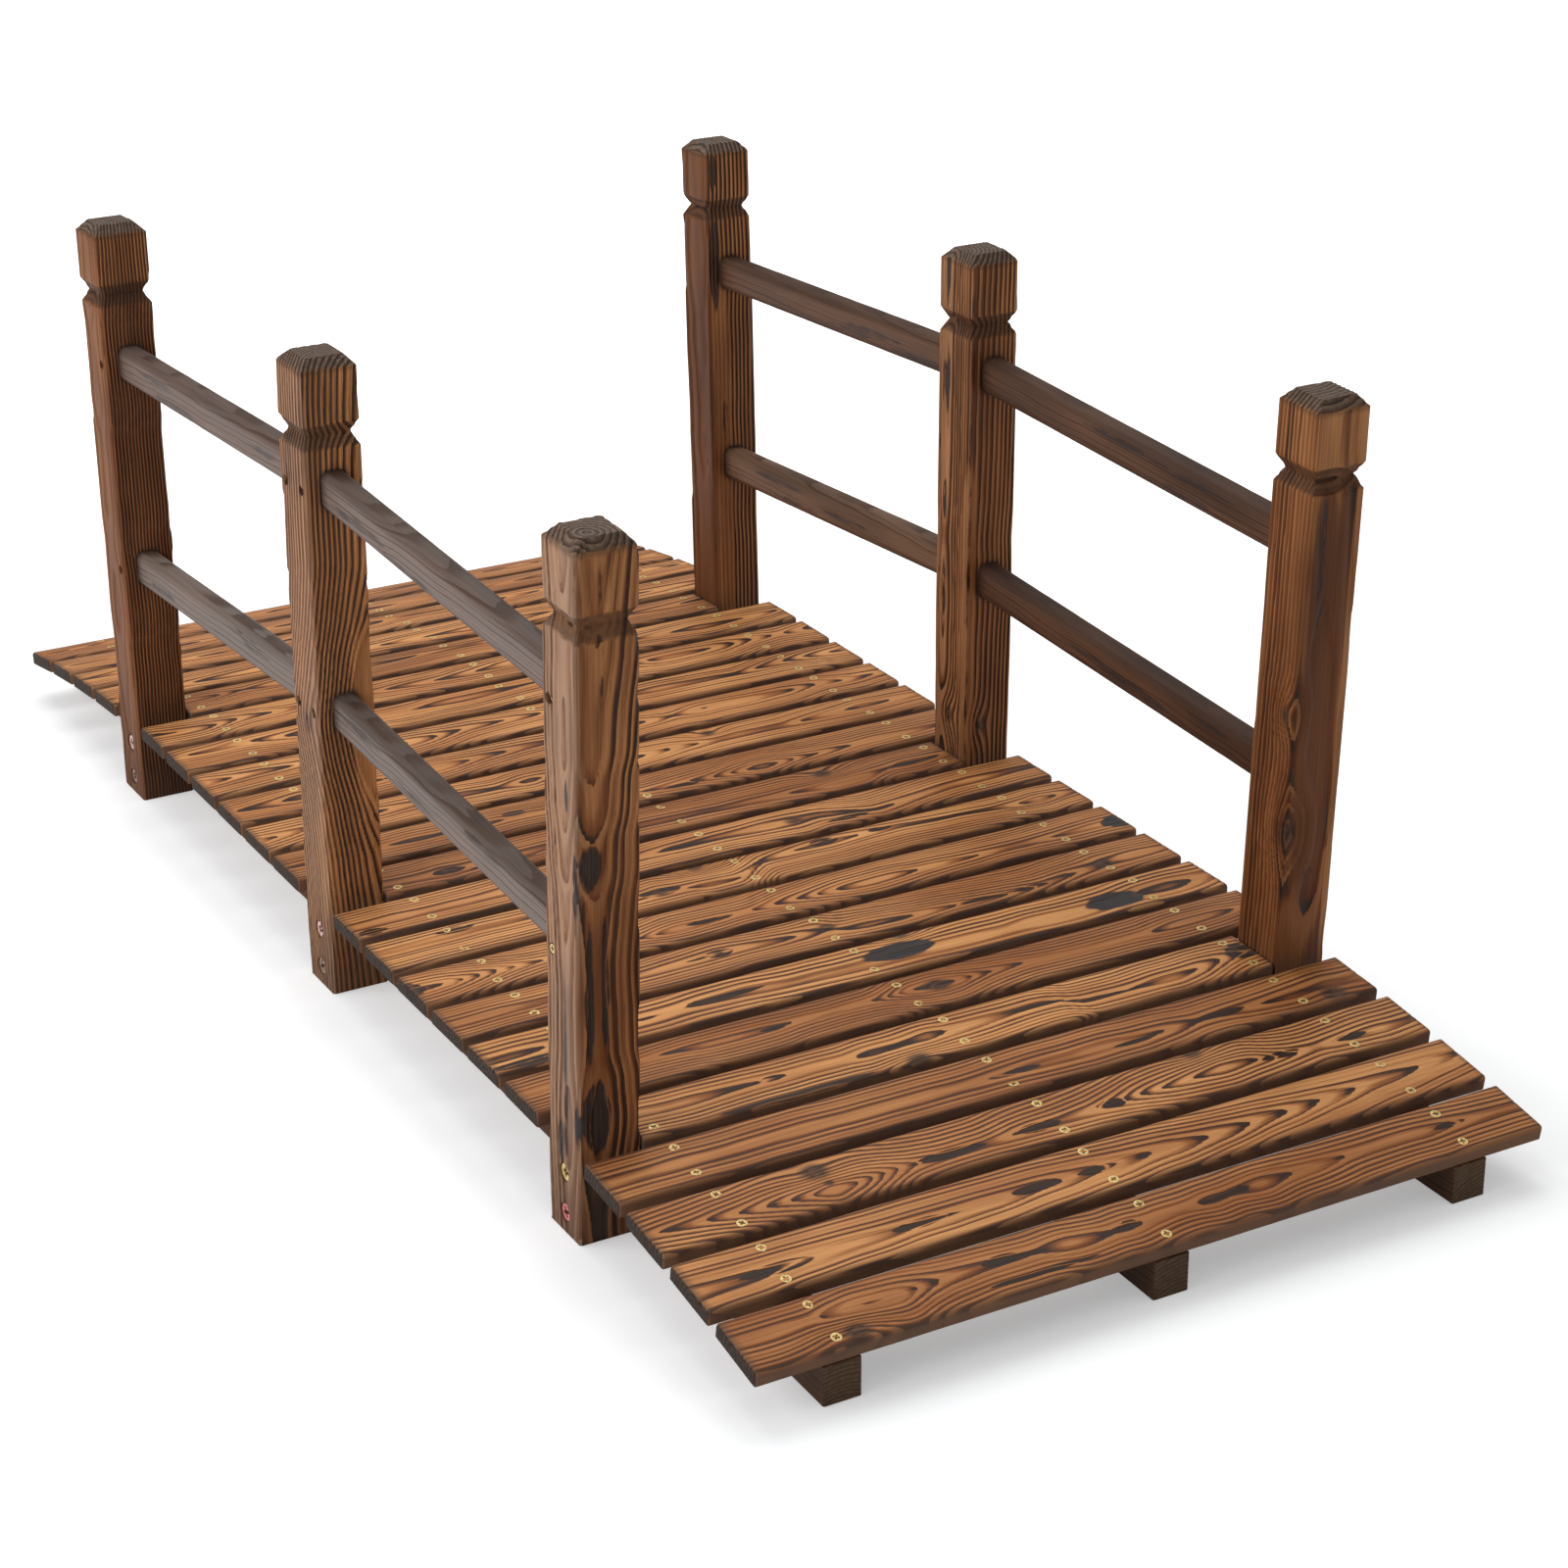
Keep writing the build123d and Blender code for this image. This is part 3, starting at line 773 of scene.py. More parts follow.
def add_plank(number):
    node = f"deck_plank_{number:02d}"
    board = Board(node)
    half_length, half_width, half_thickness = board.half
    grain = plank_grain(number, half_thickness)
    section = plank_section(half_width, half_thickness)
    normals = outward(section)
    upper = smooth(section[:, 1], -half_thickness * 0.4, half_thickness)

    def make_row(along, outline):
        alongs = np.full(len(outline), along)
        relief = relief_at(grain, alongs, outline[:, 0], outline[:, 1], (0.0008, 0.0), 0.0042)
        wear = PLANK_EDGE_WEAR * np.sin(along * 61 + number) * np.sin(along * 23 + 2 * number)
        depth = PLANK_GROOVE * relief * upper + np.abs(wear * normals[:, 0])
        return np.column_stack([alongs, outline - normals * depth[:, None]])

    alongs = places_along(half_length, PLANK_ROW_SPACING, [knot[0] for knot in grain.knots], 0.022)
    rows = with_caps(section, alongs, PLANK_END_EASING, make_row)
    piece = loft_mesh(f"plank_{number:02d}", board.to_world(rows))
    tone, faintest = PLANK_TONES_AND_SHADE.get(number, (np.random.default_rng(300 + number).uniform(0.3, 0.75), 0.35))

    def stain_and_shade(local):
        from_side = half_width - np.abs(local[:, 1])
        from_end = half_length - np.abs(local[:, 0])
        from_top = half_thickness - local[:, 2]
        # Darker near the long sides and on the side faces below the top: partly charred edges, partly
        # painted shade in the gaps between planks. The ends are charred.
        char_and_shade = np.maximum(0.6 * (1 - smooth(from_side, 0.0, 0.006)), 0.85 * smooth(from_top, 0.0008, 0.004))
        char_and_shade = np.maximum(char_and_shade, 0.75 * (1 - smooth(from_end, 0, 0.005)))
        end = (np.abs(local[:, 0]) > half_length - END_EASING / 2).astype(float)
        return char_and_shade, end, tone, 0.7 * smooth(from_top, 0.0015, 0.005), 0.0

    scorches = [
        (x / 1000, v / 1000, half_thickness, SCORCH_LENGTH * length / 1000, width / 1000, 1.0, slate)
        for x, v, length, width, slate in PLANK_SCORCHES.get(number, [])
    ]
    dress(piece, board, grain, (0, 1, 2), stain_and_shade, faintest, scorches)
    stand_in(piece, node, deck_wood)
    return board


def add_stringer(side, index):
    node = f"{side}_stringer"
    board = Board(node)
    across = 0.01 * index
    grain = Grain(2000 + index, 0.0032, [(-0.75, across, -0.07, 0.0), (0.75, across, -0.05, 0.01)])
    upper = board.corners[board.corners[:, 2] > 0.02]
    top_y, top_z = upper[np.argsort(upper[:, 1]), 1:].T
    half_width, half_length, top = board.half
    bottom, c = -top, BOTTOM_CHAMFER
    section = polygon(
        ((-half_width + c, bottom), 8), ((half_width - c, bottom), 1), ((half_width, bottom + c), 16),
        ((half_width, top), 8), ((-half_width, top), 16), ((-half_width, bottom + c), 1),
    )
    facing_across = outward(section)[:, 0]

    def make_row(along, outline):
        height = np.interp(along + board.centre[1], top_y, top_z)
        raised = bottom + (outline[:, 1] - bottom) / (top - bottom) * height
        alongs = np.full(len(outline), along)
        depth = STRINGER_GROOVE * groove(grain.rings(alongs, outline[:, 0], raised))
        depth = depth * (outline[:, 1] > bottom + c)
        return np.column_stack([outline[:, 0] - facing_across * depth, alongs, raised])

    alongs = np.linspace(-half_length, half_length, STRINGER_ROWS)
    rows = with_caps(section, alongs, END_EASING, make_row)[:, ::-1]
    piece = loft_mesh(f"stringer_{side}", board.to_world(rows))

    def stain_and_shade(local):
        end = (np.abs(local[:, 1]) > half_length - END_EASING / 2).astype(float)
        return 0.15, end * 0.8, 0.45, 0.0, 0.0

    dress(piece, board, grain, (1, 0, 2), stain_and_shade, 0.4)
    stand_in(piece, node, stringer_wood)
    return board


def rounded_section(half_width, half_height, radius, flat_steps, corner_steps):
    """A rectangle with rounded corners, anticlockwise from the bottom left."""
    w, h, r = half_width, half_height, radius
    return np.concatenate([
        line((-w + r, -h), (w - r, -h), flat_steps),
        arc((w - r, -h + r), r, -90, 0, corner_steps)[:-1],
        line((w, -h + r), (w, h - r), flat_steps),
        arc((w - r, h - r), r, 0, 90, corner_steps)[:-1],
        line((w - r, h), (-w + r, h), flat_steps),
        arc((-w + r, h - r), r, 90, 180, corner_steps)[:-1],
        line((-w, h - r), (-w, -h + r), flat_steps),
        arc((-w + r, -h + r), r, 180, 270, corner_steps)[:-1],
    ])


# Each rail's painted shade along the top, tone and weathering, from 0 to 1
RAIL_STAINS_AND_SHADE = {
    ("front", "left", "upper"): (0.42, 0.60, 0.80),
    ("front", "left", "lower"): (0.55, 0.85, 0.85),
    ("back", "left", "upper"): (0.42, 0.50, 0.62),
    ("back", "left", "lower"): (0.15, 0.85, 0.80),
    ("front", "right", "upper"): (0.55, 0.36, 0.00),
    ("front", "right", "lower"): (0.60, 0.30, 0.00),
    ("back", "right", "upper"): (0.50, 0.37, 0.00),
    ("back", "right", "lower"): (0.15, 1.00, 0.00),
}


def add_rail(bay, side, level, index):
    node = f"{bay}_{side}_{level}_rail"
    board = Board(node)
    path = [(-0.25, 0.004, -0.03 - 0.006 * index, 0.0), (0.25, 0.0, -0.05, 0.004)]
    grain = Grain(3000 + index, 0.0030, path)
    half_width, half_length, half_height = board.half
    section = rounded_section(half_width, half_height, RAIL_CORNER_RADIUS, 9, 8)
    normals = outward(section)

    def make_row(along, outline):
        alongs = np.full(len(outline), along)
        depth = RAIL_GROOVE * groove(grain.rings(alongs, outline[:, 0], outline[:, 1]))
        placed = outline - normals * depth[:, None]
        return np.column_stack([placed[:, 0], alongs, placed[:, 1]])

    alongs = np.linspace(-half_length, half_length, RAIL_ROWS)
    rows = with_caps(section, alongs, END_EASING, make_row)[:, ::-1]
    piece = loft_mesh(f"rail_{bay}_{side}_{level}", board.to_world(rows))
    top_shade, tone, weather_and_sheen = RAIL_STAINS_AND_SHADE[bay, side, level]

    def stain_and_shade(local):
        # Painted shade where the rail enters the post, along its top and underneath
        near_post = half_length - RAIL_SEAT_DEPTH - np.abs(local[:, 1])
        char_and_shade = 0.75 * (1 - smooth(near_post, 0.0, 0.014))
        char_and_shade = np.maximum(char_and_shade, top_shade * smooth(local[:, 2], half_height * 0.45, half_height * 0.8))
        char_and_shade = np.maximum(char_and_shade, 0.6 * smooth(-local[:, 2], half_height * 0.5, half_height))
        return char_and_shade, 0.0, tone, 0.3, weather_and_sheen

    random = np.random.default_rng(3100 + index)
    scorches = [
        (random.uniform(-0.8, 0.8) * half_length, -half_width, random.uniform(-0.6, 0.6) * half_height,
         random.uniform(0.04, 0.09), random.uniform(0.003, 0.005), 0.56, 0.7) for _ in range(3)
    ]
    dress(piece, board, grain, (1, 0, 2), stain_and_shade, 0.4, scorches)
    stand_in(piece, node, rail_wood)
    return board


def square_ring(half, edge, steps):
    """A square with chamfered corners, anticlockwise from the bottom left."""
    h, e = half, edge
    sides = []
    for quarter in range(4):
        c, s = cos(quarter * pi / 2), sin(quarter * pi / 2)
        rotate = np.array([[c, s], [-s, c]])
        sides.append(np.concatenate([line((-h + e, -h), (h - e, -h), steps), [[h - e, -h]]]) @ rotate)
    return np.concatenate(sides)


def cut(piece, solids):
    """Takes the solids, each given as rows of points, out of a piece."""
    cutters = [loft_mesh("cutter", rows) for rows in solids]
    bpy.ops.object.select_all(action="DESELECT")
    for cutter in cutters:
        cutter.select_set(True)
    bpy.context.view_layer.objects.active = cutters[0]
    bpy.ops.object.join()
    modifier = piece.modifiers.new("cut", "BOOLEAN")
    modifier.operation = "DIFFERENCE"
    modifier.solver = "EXACT"
    modifier.object = cutters[0]
    with bpy.context.temp_override(object=piece, active_object=piece):
        bpy.ops.object.modifier_apply(modifier=modifier.name)
    bpy.data.objects.remove(cutters[0])


# The log of each post: its ring width, its heart's radius and ring width, how far its rings wander, and its
# pith's path. Height above the ground, across (+X) and back (+Y) from the post's centre line, and the
# rings' rise. All in millimetres. Where the pith's distance and the rise add up to the heart's radius, a
# ring ends in a dark line.
POST_LOGS = {
    ("front", "left"): (4.6, (17.0, 4.6), 0.5, [
        (0, -8, -8, 13), (30, -8, -8, 12), (65, -8, -8, 9.3), (100, -8, -8, 7.4), (135, -8, -8, 9.3),
        (150, -10, -8, 11.6), (200, -10, -8, 12.7), (240, -10, -8, 11.5), (281, -10, -8, 9.2),
        (291, -11, -8, 6.6), (328, -12, -8, 4.6), (337, -12, -8, 2.2), (373, -12, -8, 0),
        (382, -11, -8, -2.4), (460, -7, -8, -4.6), (546, -7, -8, -9),
    ]),
    ("middle", "left"): (3.6, (24.3, 28.0), 0.5, [
        (0, 34, -62, 0), (120, 34, -54, 0), (165, 33, -47, 0), (240, 26, -29, 0), (320, 33, -47, 0),
        (370, 35, -54, 0), (546, 36, -60, 0),
    ]),
    ("back", "left"): (3.0, (60.0, 3.0), 0.7, [(0, -75, 0, 0), (546, -70, 5, 0)]),
    ("front", "right"): (4.4, (85.0, 4.6), 0.25, [
        (0, 0, 60, 2.0), (90, 0, 60, 0.8), (107, 0, 60, 0), (150, 2, 60, -1.2), (200, 4, 60, -1.9),
        (300, -1, 60, -1.1), (400, -7, 60, -0.4), (480, -11, 60, 0), (520, -12, 60, 0.1),
        (546, -12, 60, 0.4),
    ]),
    ("middle", "right"): (3.6, (11.2, 8.0), 0.3, [
        (0, -39, 11, 0), (180, -36.2, 11, 0), (225, -35, 11, 0), (270, -36.2, 11, 0), (285, -37, 11, 0),
        (300, -36.2, 11, 0), (420, -34.4, 11, 0), (480, -34.2, 11, 0), (546, -34, 11, 0),
    ]),
    ("back", "right"): (4.4, (60.0, 4.4), 0.7, [(0, -78, -8, 0), (546, -72, -5, 0)]),
}

# Knots in the posts: height, across, back and radius, in millimetres, and how far they bend the rings
POST_KNOTS = {
    ("front", "right"): [(192, -23, -24, 11, 0.8), (290, -27, -14, 7, 1)],
    ("middle", "right"): [(112, -8, -25, 6, 0.6), (118, -25, 0, 7, 0.8)],
}

# Scorches on the posts: height, across, back, half length and half width in millimetres, strength, and
# how slate-coloured rather than sooty each one is
POST_SCORCHES = {
    ("front", "left"): [
        (105, -10, -25, 34, 13, 0.8, 0.3), (200, -15, -25, 70, 5, 0.7, 0.2),
        (210, -3, -25, 70, 4, 0.66, 0.2), (304, -14, -25, 26, 10, 0.66, 0.2),
        (150, -25, -4, 90, 4, 0.6, 0.9), (285, -25, -22, 40, 4, 0.62, 0.9), (75, -25, 2, 22, 11, 0.62, 0.8),
        (355, -25, -10, 16, 3, 0.66, 0.9), (250, -25, 8, 120, 4, 0.5, 0.9),
        (100, -25, -22, 26, 5, 0.62, 0.8), (470, -5, -25, 70, 4, 0.56, 0.2),
    ],
    ("front", "right"): [
        (440, -12, -25, 40, 5, 0.7, 0.3), (400, -10, -25, 40, 6, 0.62, 0.3),
        (152, -1, -25, 10, 12, 0.5, 0.3),
    ],
    ("middle", "left"): [(460, -25, 10, 34, 14, 0.5, 0.8), (238, -25, 0, 26, 12, 0.46, 0.9)],
    ("middle", "right"): [
        (225, -25, 11, 44, 5, 0.8, 0.1), (320, -25, 11, 22, 4, 0.8, 0.1), (300, -22, -25, 320, 4, 0.5, 0.1),
    ],
    ("back", "right"): [
        (430, -17, -25, 50, 6, 0.9, 0.3), (520, -17, -25, 22, 5, 0.8, 0.2), (270, -9, -25, 30, 5, 0.5, 0.1),
    ],
}

# Smooth patches on the posts: height, across, back, half length and half width in millimetres, how far the
# rings fade there, and how much darker it is as a share of the tone's range
POST_SMOOTHS = {
    ("front", "left"): [
        (215, -9, -25, 90, 9, 0.6, 0.06), (105, -12, -25, 46, 14, 0.7, 0.14),
        (430, -9, -25, 110, 11, 0.5, 0.03),
    ],
    ("front", "right"): [
        (300, -2, -25, 170, 17, 0.9, 0.34), (415, -10, -25, 60, 9, 0.9, 0.36),
        (290, 23, -25, 260, 6, 0.9, -0.14), (524, 16, -25, 40, 10, 0.85, -0.05),
        (92, -14, -25, 42, 12, 0.75, 0.02),
    ],
    ("middle", "left"): [(242, 25, -25, 76, 19, 0.88, -0.1), (105, -25, 0, 125, 27, 0.6, -0.3)],
    ("middle", "right"): [(210, -21, -25, 150, 8, 0.9, 0.07)],
    ("back", "right"): [(230, -16, -25, 210, 14, 0.9, 0.03)],
}

# Tone of each post, then plainness, weathering with painted sheen and tone with painted light of its left
# face, and its faintest ring, from 0 to 1
POST_STAINS_AND_LIGHT = {
    ("front", "left"): (0.44, 0.60, 0.60, 0.55, 0.22),
    ("middle", "left"): (0.90, 0.60, 0.50, 0.52, 1.00),
    ("back", "left"): (0.12, 0.90, 0.08, 0.13, 1.00),
    ("front", "right"): (0.36, 0.0, 0.0, 0.34, 0.45),
    ("middle", "right"): (0.40, 0.15, 0.15, 0.70, 0.75),
    ("back", "right"): (0.42, 0.90, 0.02, 0.03, 1.00),
}


def cut_y(board, height):
    """Y of a post's centre line at a height above the ground."""
    return board.to_world(np.array([0, 0, (height - board.centre[2]) / board.axes[2][2]]))[1]


def beside_rail(local, board, rail):
    """How far each point of a post is outside a rail's section, measured square to the rail."""
    inside = rail.to_local(board.to_world(local))
    across = np.maximum(np.abs(inside[:, 0]) - rail.half[0] + RAIL_CORNER_RADIUS, 0)
    up = np.maximum(np.abs(inside[:, 2]) - rail.half[2] + RAIL_CORNER_RADIUS, 0)
    outside = np.hypot(across, up) - RAIL_CORNER_RADIUS
    return np.where(np.abs(inside[:, 1]) < rail.half[1] + 0.002, outside, 1.0)


def from_ground(ground, rows, lengths):
    """Rows that begin with some lengths in millimetres, now in metres and with their heights from ground."""
    return [
        (ground + height / 1000, *(value / 1000 for value in others[:lengths - 1]), *others[lengths - 1:])
        for height, *others in rows
    ]


def add_post(place, side, rails, index):
    node = f"{place}_{side}_post"
    board = Board(node)
    half, _, top = board.half
    ground = -board.centre[2] / board.axes[2][2]
    ring_width, heart, wander, path = POST_LOGS[place, side]
    heart_radius, heart_ring_width = heart
    grain = Grain(
        4000 + index, ring_width / 1000, from_ground(ground, path, 4),
        from_ground(ground, POST_KNOTS.get((place, side), []), 4),
        wander / 1000, -heart_radius / ring_width, 0.06, (heart_radius / 1000, heart_ring_width / 1000),
    )
    head_edge = top - CAP_RISE
    head_base = head_edge - HEAD_SIDE_HEIGHT
    neck_low = head_base - NECK_HEIGHT
    neck_middle = head_base - NECK_HEIGHT / 2
    foot = ground + 0.0008
    heights = list(np.linspace(ground + 0.005, neck_low, POST_SHAFT_ROWS))
    for low, high, count in (
        (neck_low, neck_middle, 5), (neck_middle, head_base, 5),
        (head_base, head_edge, 12), (head_edge, top, 5),
    ):
        heights += list(np.linspace(low, high, count)[1:])

    def half_at(height):
        return np.interp(
            height,
            [neck_low, neck_middle, head_base, head_edge, top],
            [half, half - NECK_DEPTH, half, half, half - CAP_INSET],
        )

    def make_row(height, shrink=1.0, level=False):
        size = half_at(height)
        section = square_ring(size * shrink, POST_EDGE * shrink, POST_SIDE_POINTS)
        heights_here = np.full(len(section), height)
        if level:
            heights_here = -(board.centre[2] + section[:, 1] * board.axes[1][2]) / board.axes[2][2]
        relief = relief_at(grain, heights_here, section[:, 0], section[:, 1], (0.0008, 0.0008), 0.0023)
        placed = section - outward(section) * (POST_GROOVE * relief * (shrink == 1.0))[:, None]
        if shrink < 1.0 and not level:
            heights_here = heights_here - 0.0004 * relief
        return np.column_stack([placed, heights_here])

    rows = [make_row(foot, shrink, level=True) for shrink in (0.05, 0.4, 0.75, 0.985)]
    rows.append(make_row(foot if place == "middle" else foot + 0.0012))
    rows += [make_row(height) for height in heights]
    rows += [make_row(top, shrink) for shrink in (0.97, 0.85, 0.7, 0.55, 0.4, 0.25, 0.1)]
    piece = loft_mesh(f"post_{place}_{side}", board.to_world(np.array(rows)))

    outer = OUTWARD[side]
    outer_x = board.centre[0] + outer * half
    cuts, recesses = [], []
    for z in FOOT_SCREW_HEIGHTS:
        y = cut_y(board, z)
        cuts.append(recess(outer_x, outer, y, z, FOOT_RECESS_RADIUS))
        recesses.append((*board.to_local(np.array([outer_x, y, z]))[1:], FOOT_RECESS_RADIUS))
    for rail, end in rails:
        point = rail_screw_point(rail, end)
        cuts.append(recess(outer_x, outer, point[1], point[2], RAIL_RECESS_RADIUS))
        cuts.append(pocket(rail, end))
        recesses.append((*board.to_local(point)[1:], RAIL_RECESS_RADIUS))
    cut(piece, cuts)
    post_tone, plain, weather_and_sheen, left_tone_and_light, faintest = POST_STAINS_AND_LIGHT[place, side]

    def stain_and_shade(local):
        height = local[:, 2]
        in_neck = smooth(height, neck_low, neck_low + 0.002)
        in_neck = in_neck * (1 - smooth(height, head_base - 0.002, head_base))
        near_ground = 1 - smooth(height - ground, 0.0, 0.12)
        corner = smooth(np.abs(local[:, 0]) + np.abs(local[:, 1]), 2 * half - 0.004, 2 * half - 0.001)
        # Darker in the neck and towards the ground
        char_and_shade = np.maximum(0.6 * in_neck, 0.45 * near_ground)
        char_and_shade = np.maximum(char_and_shade, 0.15 * corner)
        char_and_shade = np.maximum(char_and_shade, 0.45 * (1 - smooth(np.abs(height - head_edge), 0.0, 0.004)))
        # Painted shadow round each rail where it enters the post
        for rail, _ in rails:
            char_and_shade = np.maximum(char_and_shade, 0.8 * (1 - smooth(beside_rail(local, board, rail), 0.0, 0.0045)))
        # Painted shade in the screw recesses
        sunk = np.abs(local[:, 0]) < half - 0.001
        for y, z, radius in recesses:
            in_recess = np.hypot(local[:, 1] - y, local[:, 2] - z) < radius + 0.0004
            char_and_shade = np.maximum(char_and_shade, 0.9 * (sunk & in_recess))
        end = smooth(height, head_edge + 0.0004, head_edge + 0.0016)
        # The left face's tone carries painted light, and its weathering painted sheen
        left_face = smooth(-local[:, 0], half - 0.006, half - 0.001)
        tone = post_tone + (left_tone_and_light - post_tone) * left_face
        head_tone = 0.22 * (1 - 0.9 * plain * left_face)
        tone = tone + head_tone * smooth(height, head_base - 0.001, head_base + 0.001)
        return char_and_shade, end, tone, plain * left_face, weather_and_sheen * left_face

    scorches = from_ground(ground, POST_SCORCHES.get((place, side), []), 5)
    smooths = from_ground(ground, POST_SMOOTHS.get((place, side), []), 5)
    dress(piece, board, grain, (2, 0, 1), stain_and_shade, faintest, scorches, smooths)
    stand_in(piece, node, post_wood)
    return board


def rail_screw_point(rail, end):
    """The middle of a rail's seat, at one of its ends."""
    return rail.to_world(np.array([0, end * (rail.half[1] - RAIL_SEAT_DEPTH / 2), 0]))


def recess(outer_x, outer, y, z, radius):
    """A short round solid through a post's outer face."""
    ring = arc((y, z), radius, 0, 360, 33)[:-1]
    ends = sorted((outer_x - outer * RECESS_DEPTH, outer_x + outer * 0.005))
    return np.array([np.column_stack([np.full(len(ring), x), ring]) for x in ends])


def pocket(rail, end):
    """The solid of a rail's seat, with its clearance."""
    half_width, half_length, half_height = rail.half + POCKET_CLEARANCE
    section = rounded_section(half_width, half_height, RAIL_CORNER_RADIUS + POCKET_CLEARANCE, 4, 7)
    ends = sorted((end * half_length, end * (rail.half[1] - RAIL_SEAT_DEPTH - 0.01)))
    return rail.to_world(np.array([
        np.column_stack([section[:, 0], np.full(len(section), along), section[:, 1]])[::-1]
        for along in ends
    ]))


def screw_points(radius):
    """A countersunk head with a cross recess, on a grid drawn round, facing up at the origin."""
    arm, reach = 0.19, 0.60
    marks = np.array([-1, -0.86, -reach - 0.06, -reach, -arm - 0.04, -arm])
    marks = np.concatenate([marks, -marks[::-1]])
    u, v = np.meshgrid(marks, marks, indexing="ij")
    x = u * np.sqrt(1 - v * v / 2)
    y = v * np.sqrt(1 - u * u / 2)
    in_arm = (np.abs(u) <= arm) & (np.abs(v) <= reach) | (np.abs(v) <= arm) & (np.abs(u) <= reach)
    z = 0.04 * (1 - x * x - y * y) - 0.30 * in_arm
    return np.stack([x, y, z], -1).reshape(-1, 3) * radius, in_arm.ravel().astype(float), len(marks)


def add_screws(name, spots, radius, material):
    """One mesh of many screw heads. Each spot is a place, an outward direction and a turn."""
    head, grime, side = screw_points(radius)
    index = np.arange(side * side).reshape(side, side)
    quads = np.stack([index[:-1, :-1], index[1:, :-1], index[1:, 1:], index[:-1, 1:]], -1).reshape(-1, 4)
    border = np.concatenate([index[:, 0], index[-1, 1:], index[-2::-1, -1], index[0, -2:0:-1]])
    skirt = head[border] * np.array([0.55, 0.55, 0]) - np.array([0, 0, 0.62 * radius])
    count = len(head)
    below = count + np.arange(len(border))
    following = np.roll(np.arange(len(border)), -1)
    walls = np.stack([border, below, below[following], border[following]], -1)
    shape = np.concatenate([head, skirt])
    faces = quads.tolist() + walls.tolist() + [below.tolist()]
    points, all_faces = [], []
    for place, facing, turn in spots:
        spin = Vector(facing).to_track_quat("Z", "Y").to_matrix() @ Matrix.Rotation(turn, 3, "Z")
        base = len(points) * len(shape)
        points.append(shape @ np.array(spin).T + np.array(place))
        all_faces += [[corner + base for corner in face] for face in faces]
    piece = new_piece(name, np.concatenate(points), all_faces)
    # Painted shade on the cross recesses and the hidden skirt
    put(piece.data, "grime", "FLOAT", np.tile(np.concatenate([grime, np.ones(len(skirt))]), len(spots)))
    piece.data.materials.append(material)
    shade_smooth(piece.data, 30)
    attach(piece, "root")


def deck_screws(planks, stringers):
    """Two screws in each plank over each stringer, none of them quite in line or upright."""
    random = np.random.default_rng(7)
    spots = []
    for plank, stringer, across in product(planks, stringers, (-1, 1)):
        local = np.array([
            stringer.centre[0] + random.normal(0, 0.0012),
            across * DECK_SCREW_SPREAD + random.normal(0, 0.0007),
            plank.half[2] + DECK_SCREW_LIFT,
        ])
        facing = np.array([*random.normal(0, 0.05, 2), 1]) @ plank.axes
        spots.append((plank.to_world(local), facing, random.uniform(0, pi)))
    return spots


def add_floor():
    """A white floor that keeps the bridge's shadow. To the camera and in reflections it glows, less near the
    bridge, which paints a soft shade round it, and enough further out to stay white.
    """
    bpy.ops.mesh.primitive_grid_add(x_subdivisions=2, y_subdivisions=2, size=14.0, location=(0, 0, -0.0002))
    floor = bpy.context.object
    floor.name = "floor"
    material = bpy.data.materials.new("white_floor")
    s = Shader(material)
    rays = s.node("ShaderNodeLightPath").outputs
    # The floor glows in the wood's reflections too: a painted reflection of a bright floor
    shown = s.math("MAXIMUM", rays["Is Camera Ray"], rays["Is Glossy Ray"])
    place = s.vector("ABSOLUTE", s.node("ShaderNodeTexCoord").outputs["Object"])
    outside = s.vector("MAXIMUM", s.vector("SUBTRACT", place, (0.33, 0.75, 0.0)), (0.0, 0.0, 0.0))
    distance = s.node("ShaderNodeVectorMath", {0: outside}, operation="LENGTH").outputs["Value"]
    # Painted shade: the glow is weakest next to the bridge and rises to its full level two metres out
    level = s.ramp(s.math("DIVIDE", distance, 2.0), [(0.0, 0.34), (0.03, 0.36), (0.22, 0.60), (1.0, 0.92)])
    diffuse = s.node("ShaderNodeBsdfDiffuse", {"Color": (0.86, 0.86, 0.86)})
    glow = s.node("ShaderNodeEmission", {"Color": (1, 1, 1), "Strength": s.times(shown, level)})
    both = s.node("ShaderNodeAddShader", {0: diffuse.outputs[0], 1: glow.outputs[0]})
    s.node("ShaderNodeOutputMaterial", {"Surface": both.outputs[0]})
    floor.data.materials.append(material)


def add_world():
    """Soft light from all round, which the camera sees as white."""
    world = bpy.data.worlds.new("studio")
    bpy.context.scene.world = world
    s = Shader(world)
    rays = s.node("ShaderNodeLightPath").outputs
    shown = s.math("MAXIMUM", rays["Is Camera Ray"], rays["Is Transmission Ray"])
    light = s.node("ShaderNodeBackground", {"Color": (0.95, 0.98, 1.0), "Strength": 0.42})
    white = s.node("ShaderNodeBackground", {"Color": (1, 1, 1), "Strength": 1.0})
    mix = s.node("ShaderNodeMixShader", {0: shown, 1: light.outputs[0], 2: white.outputs[0]})
    s.node("ShaderNodeOutputWorld", {"Surface": mix.outputs[0]})


def add_softbox(name, place, target, size, power, colour=(1, 1, 1)):
    light = bpy.data.lights.new(name, "AREA")
    light.shape = "RECTANGLE"
    light.size, light.size_y = size
    light.energy = power
    light.color = colour
    lamp = bpy.data.objects.new(name, light)
    lamp.location = place
    lamp.rotation_euler = (Vector(place) - Vector(target)).to_track_quat("Z", "Y").to_euler()
    bpy.context.scene.collection.objects.link(lamp)


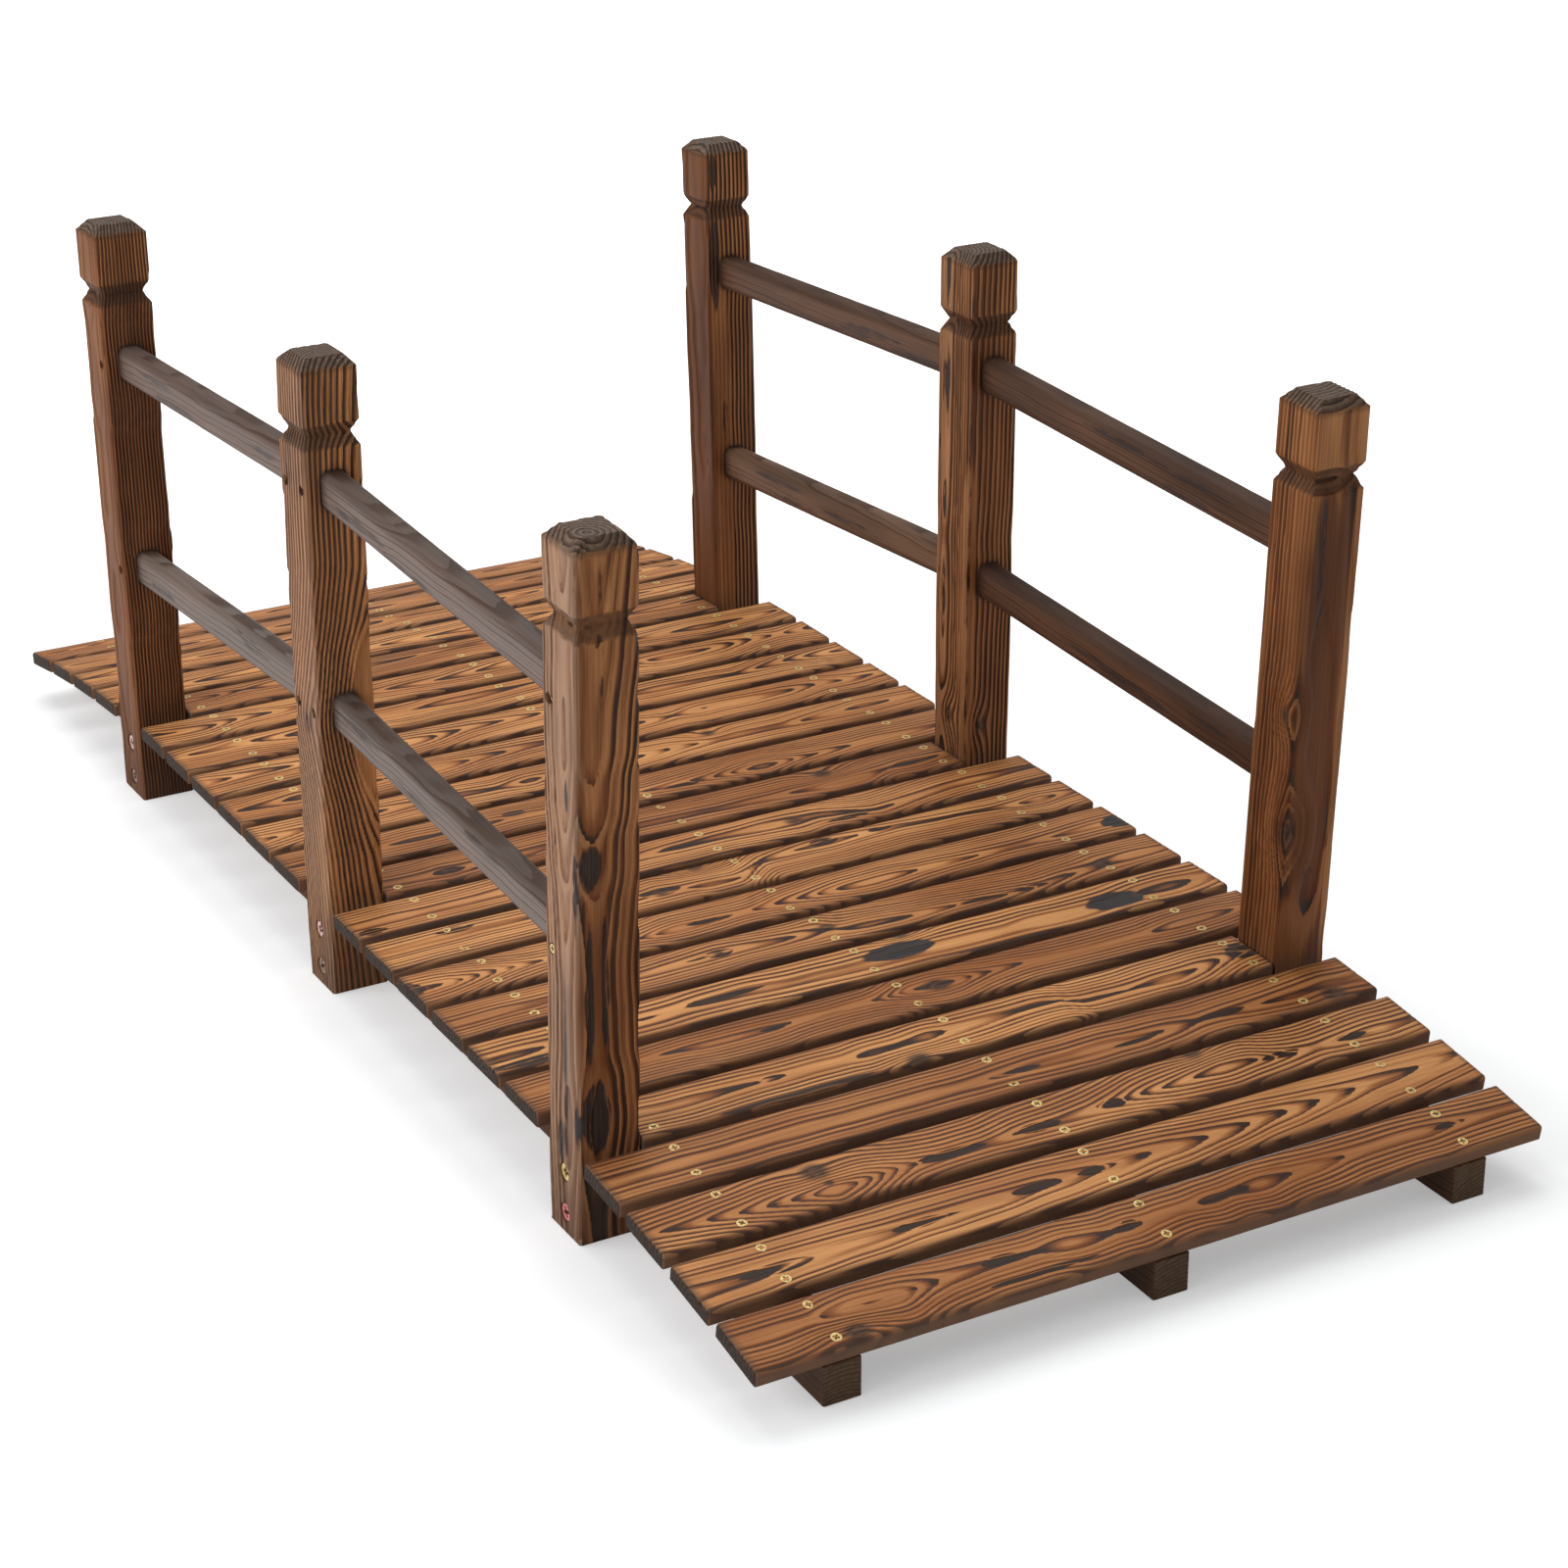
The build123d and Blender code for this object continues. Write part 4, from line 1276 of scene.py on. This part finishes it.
def add_camera():
    """The photograph's viewpoint, from a fit of the camera to the bridge's corners in the 1600 px frame."""
    yaw, pitch, roll = radians(-28.679), radians(-22.002), radians(-0.469)
    focal_px, frame_px = 3524.2, 1600.0
    centre_px = (752.0, 704.0)
    place = (-1.2704, -2.4424, 1.3095)
    ahead = Vector((-sin(yaw) * cos(pitch), cos(yaw) * cos(pitch), sin(pitch)))
    level = Vector((cos(yaw), sin(yaw), 0))
    above = level.cross(ahead)
    right = cos(roll) * level + sin(roll) * above
    up = -sin(roll) * level + cos(roll) * above
    camera = bpy.data.cameras.new("photo_camera")
    camera.sensor_width = 36.0
    camera.lens = focal_px / frame_px * camera.sensor_width
    camera.shift_x = (frame_px / 2 - centre_px[0]) / frame_px
    camera.shift_y = (centre_px[1] - frame_px / 2) / frame_px
    camera.clip_end = 50
    viewer = bpy.data.objects.new("photo_camera", camera)
    turn = Matrix((right, up, -ahead)).transposed()
    viewer.matrix_world = Matrix.Translation(place) @ turn.to_4x4()
    bpy.context.scene.collection.objects.link(viewer)
    bpy.context.scene.camera = viewer


def build():
    """All pieces. The rails come before the posts, which are cut to take their ends."""
    planks = [add_plank(number) for number in range(1, 24)]
    stringers = [add_stringer(side, index) for index, side in enumerate(("left", "middle", "right"))]
    rails = {}
    for index, (side, bay, level) in enumerate(product(OUTWARD, ("front", "back"), ("upper", "lower"))):
        rails[side, bay, level] = add_rail(bay, side, level, index)
    foot_spots = {colour: [] for colour in ("brass", "pink", "pale", "brown")}
    rail_spots = []
    random = np.random.default_rng(11)
    for index, (side, place) in enumerate(product(OUTWARD, ("front", "middle", "back"))):
        bays = ("front", "back") if place == "middle" else (place,)
        ends = []
        for bay, level in product(bays, ("upper", "lower")):
            front_end = (bay == "front") != (place == "middle")
            ends.append((rails[side, bay, level], -1 if front_end else 1))
        board = add_post(place, side, ends, index)
        outer = OUTWARD[side]
        outer_x = board.centre[0] + outer * board.half[0]
        for z in FOOT_SCREW_HEIGHTS:
            head = (outer_x - outer * FOOT_SCREW_SINK, cut_y(board, z), z)
            colour = FOOT_SCREW_COLOURS.get((place, side, z), "brass")
            foot_spots[colour].append((head, (outer, 0, 0), random.uniform(0, pi)))
        for rail, end in ends:
            _, y, z = rail_screw_point(rail, end)
            shallow = (side, place) == ("left", "front") and z < 0.3
            sink = SHALLOW_RAIL_SCREW_SINK if shallow else RAIL_SCREW_SINK
            rail_spots.append(((outer_x - outer * sink, y, z), (outer, 0, 0), random.uniform(0, pi)))
    for name, spots, radius, metal in (
        ("deck_screws", deck_screws(planks, stringers), DECK_SCREW_RADIUS, brass),
        ("foot_screws", foot_spots["brass"], FOOT_SCREW_RADIUS, brass),
        ("pink_foot_screws", foot_spots["pink"], FOOT_SCREW_RADIUS, pink_steel),
        ("pale_foot_screws", foot_spots["pale"], FOOT_SCREW_RADIUS, pale_steel),
        ("brown_foot_screws", foot_spots["brown"], FOOT_SCREW_RADIUS, brown_steel),
        ("rail_screws", rail_spots, RAIL_SCREW_RADIUS, brass),
    ):
        add_screws(name, spots, radius, metal)


build()
add_floor()
add_world()
add_softbox("overhead", (0.5, 1.3, 2.9), (0, 0, 0), (3.2, 2.6), 62)
add_softbox("left_side", (-1.5, -0.1, 0.8), (0, 0.0, 0.25), (2.0, 0.9), 14, (0.97, 0.98, 1.0))
add_camera()
bpy.context.scene.view_settings.view_transform = "Standard"
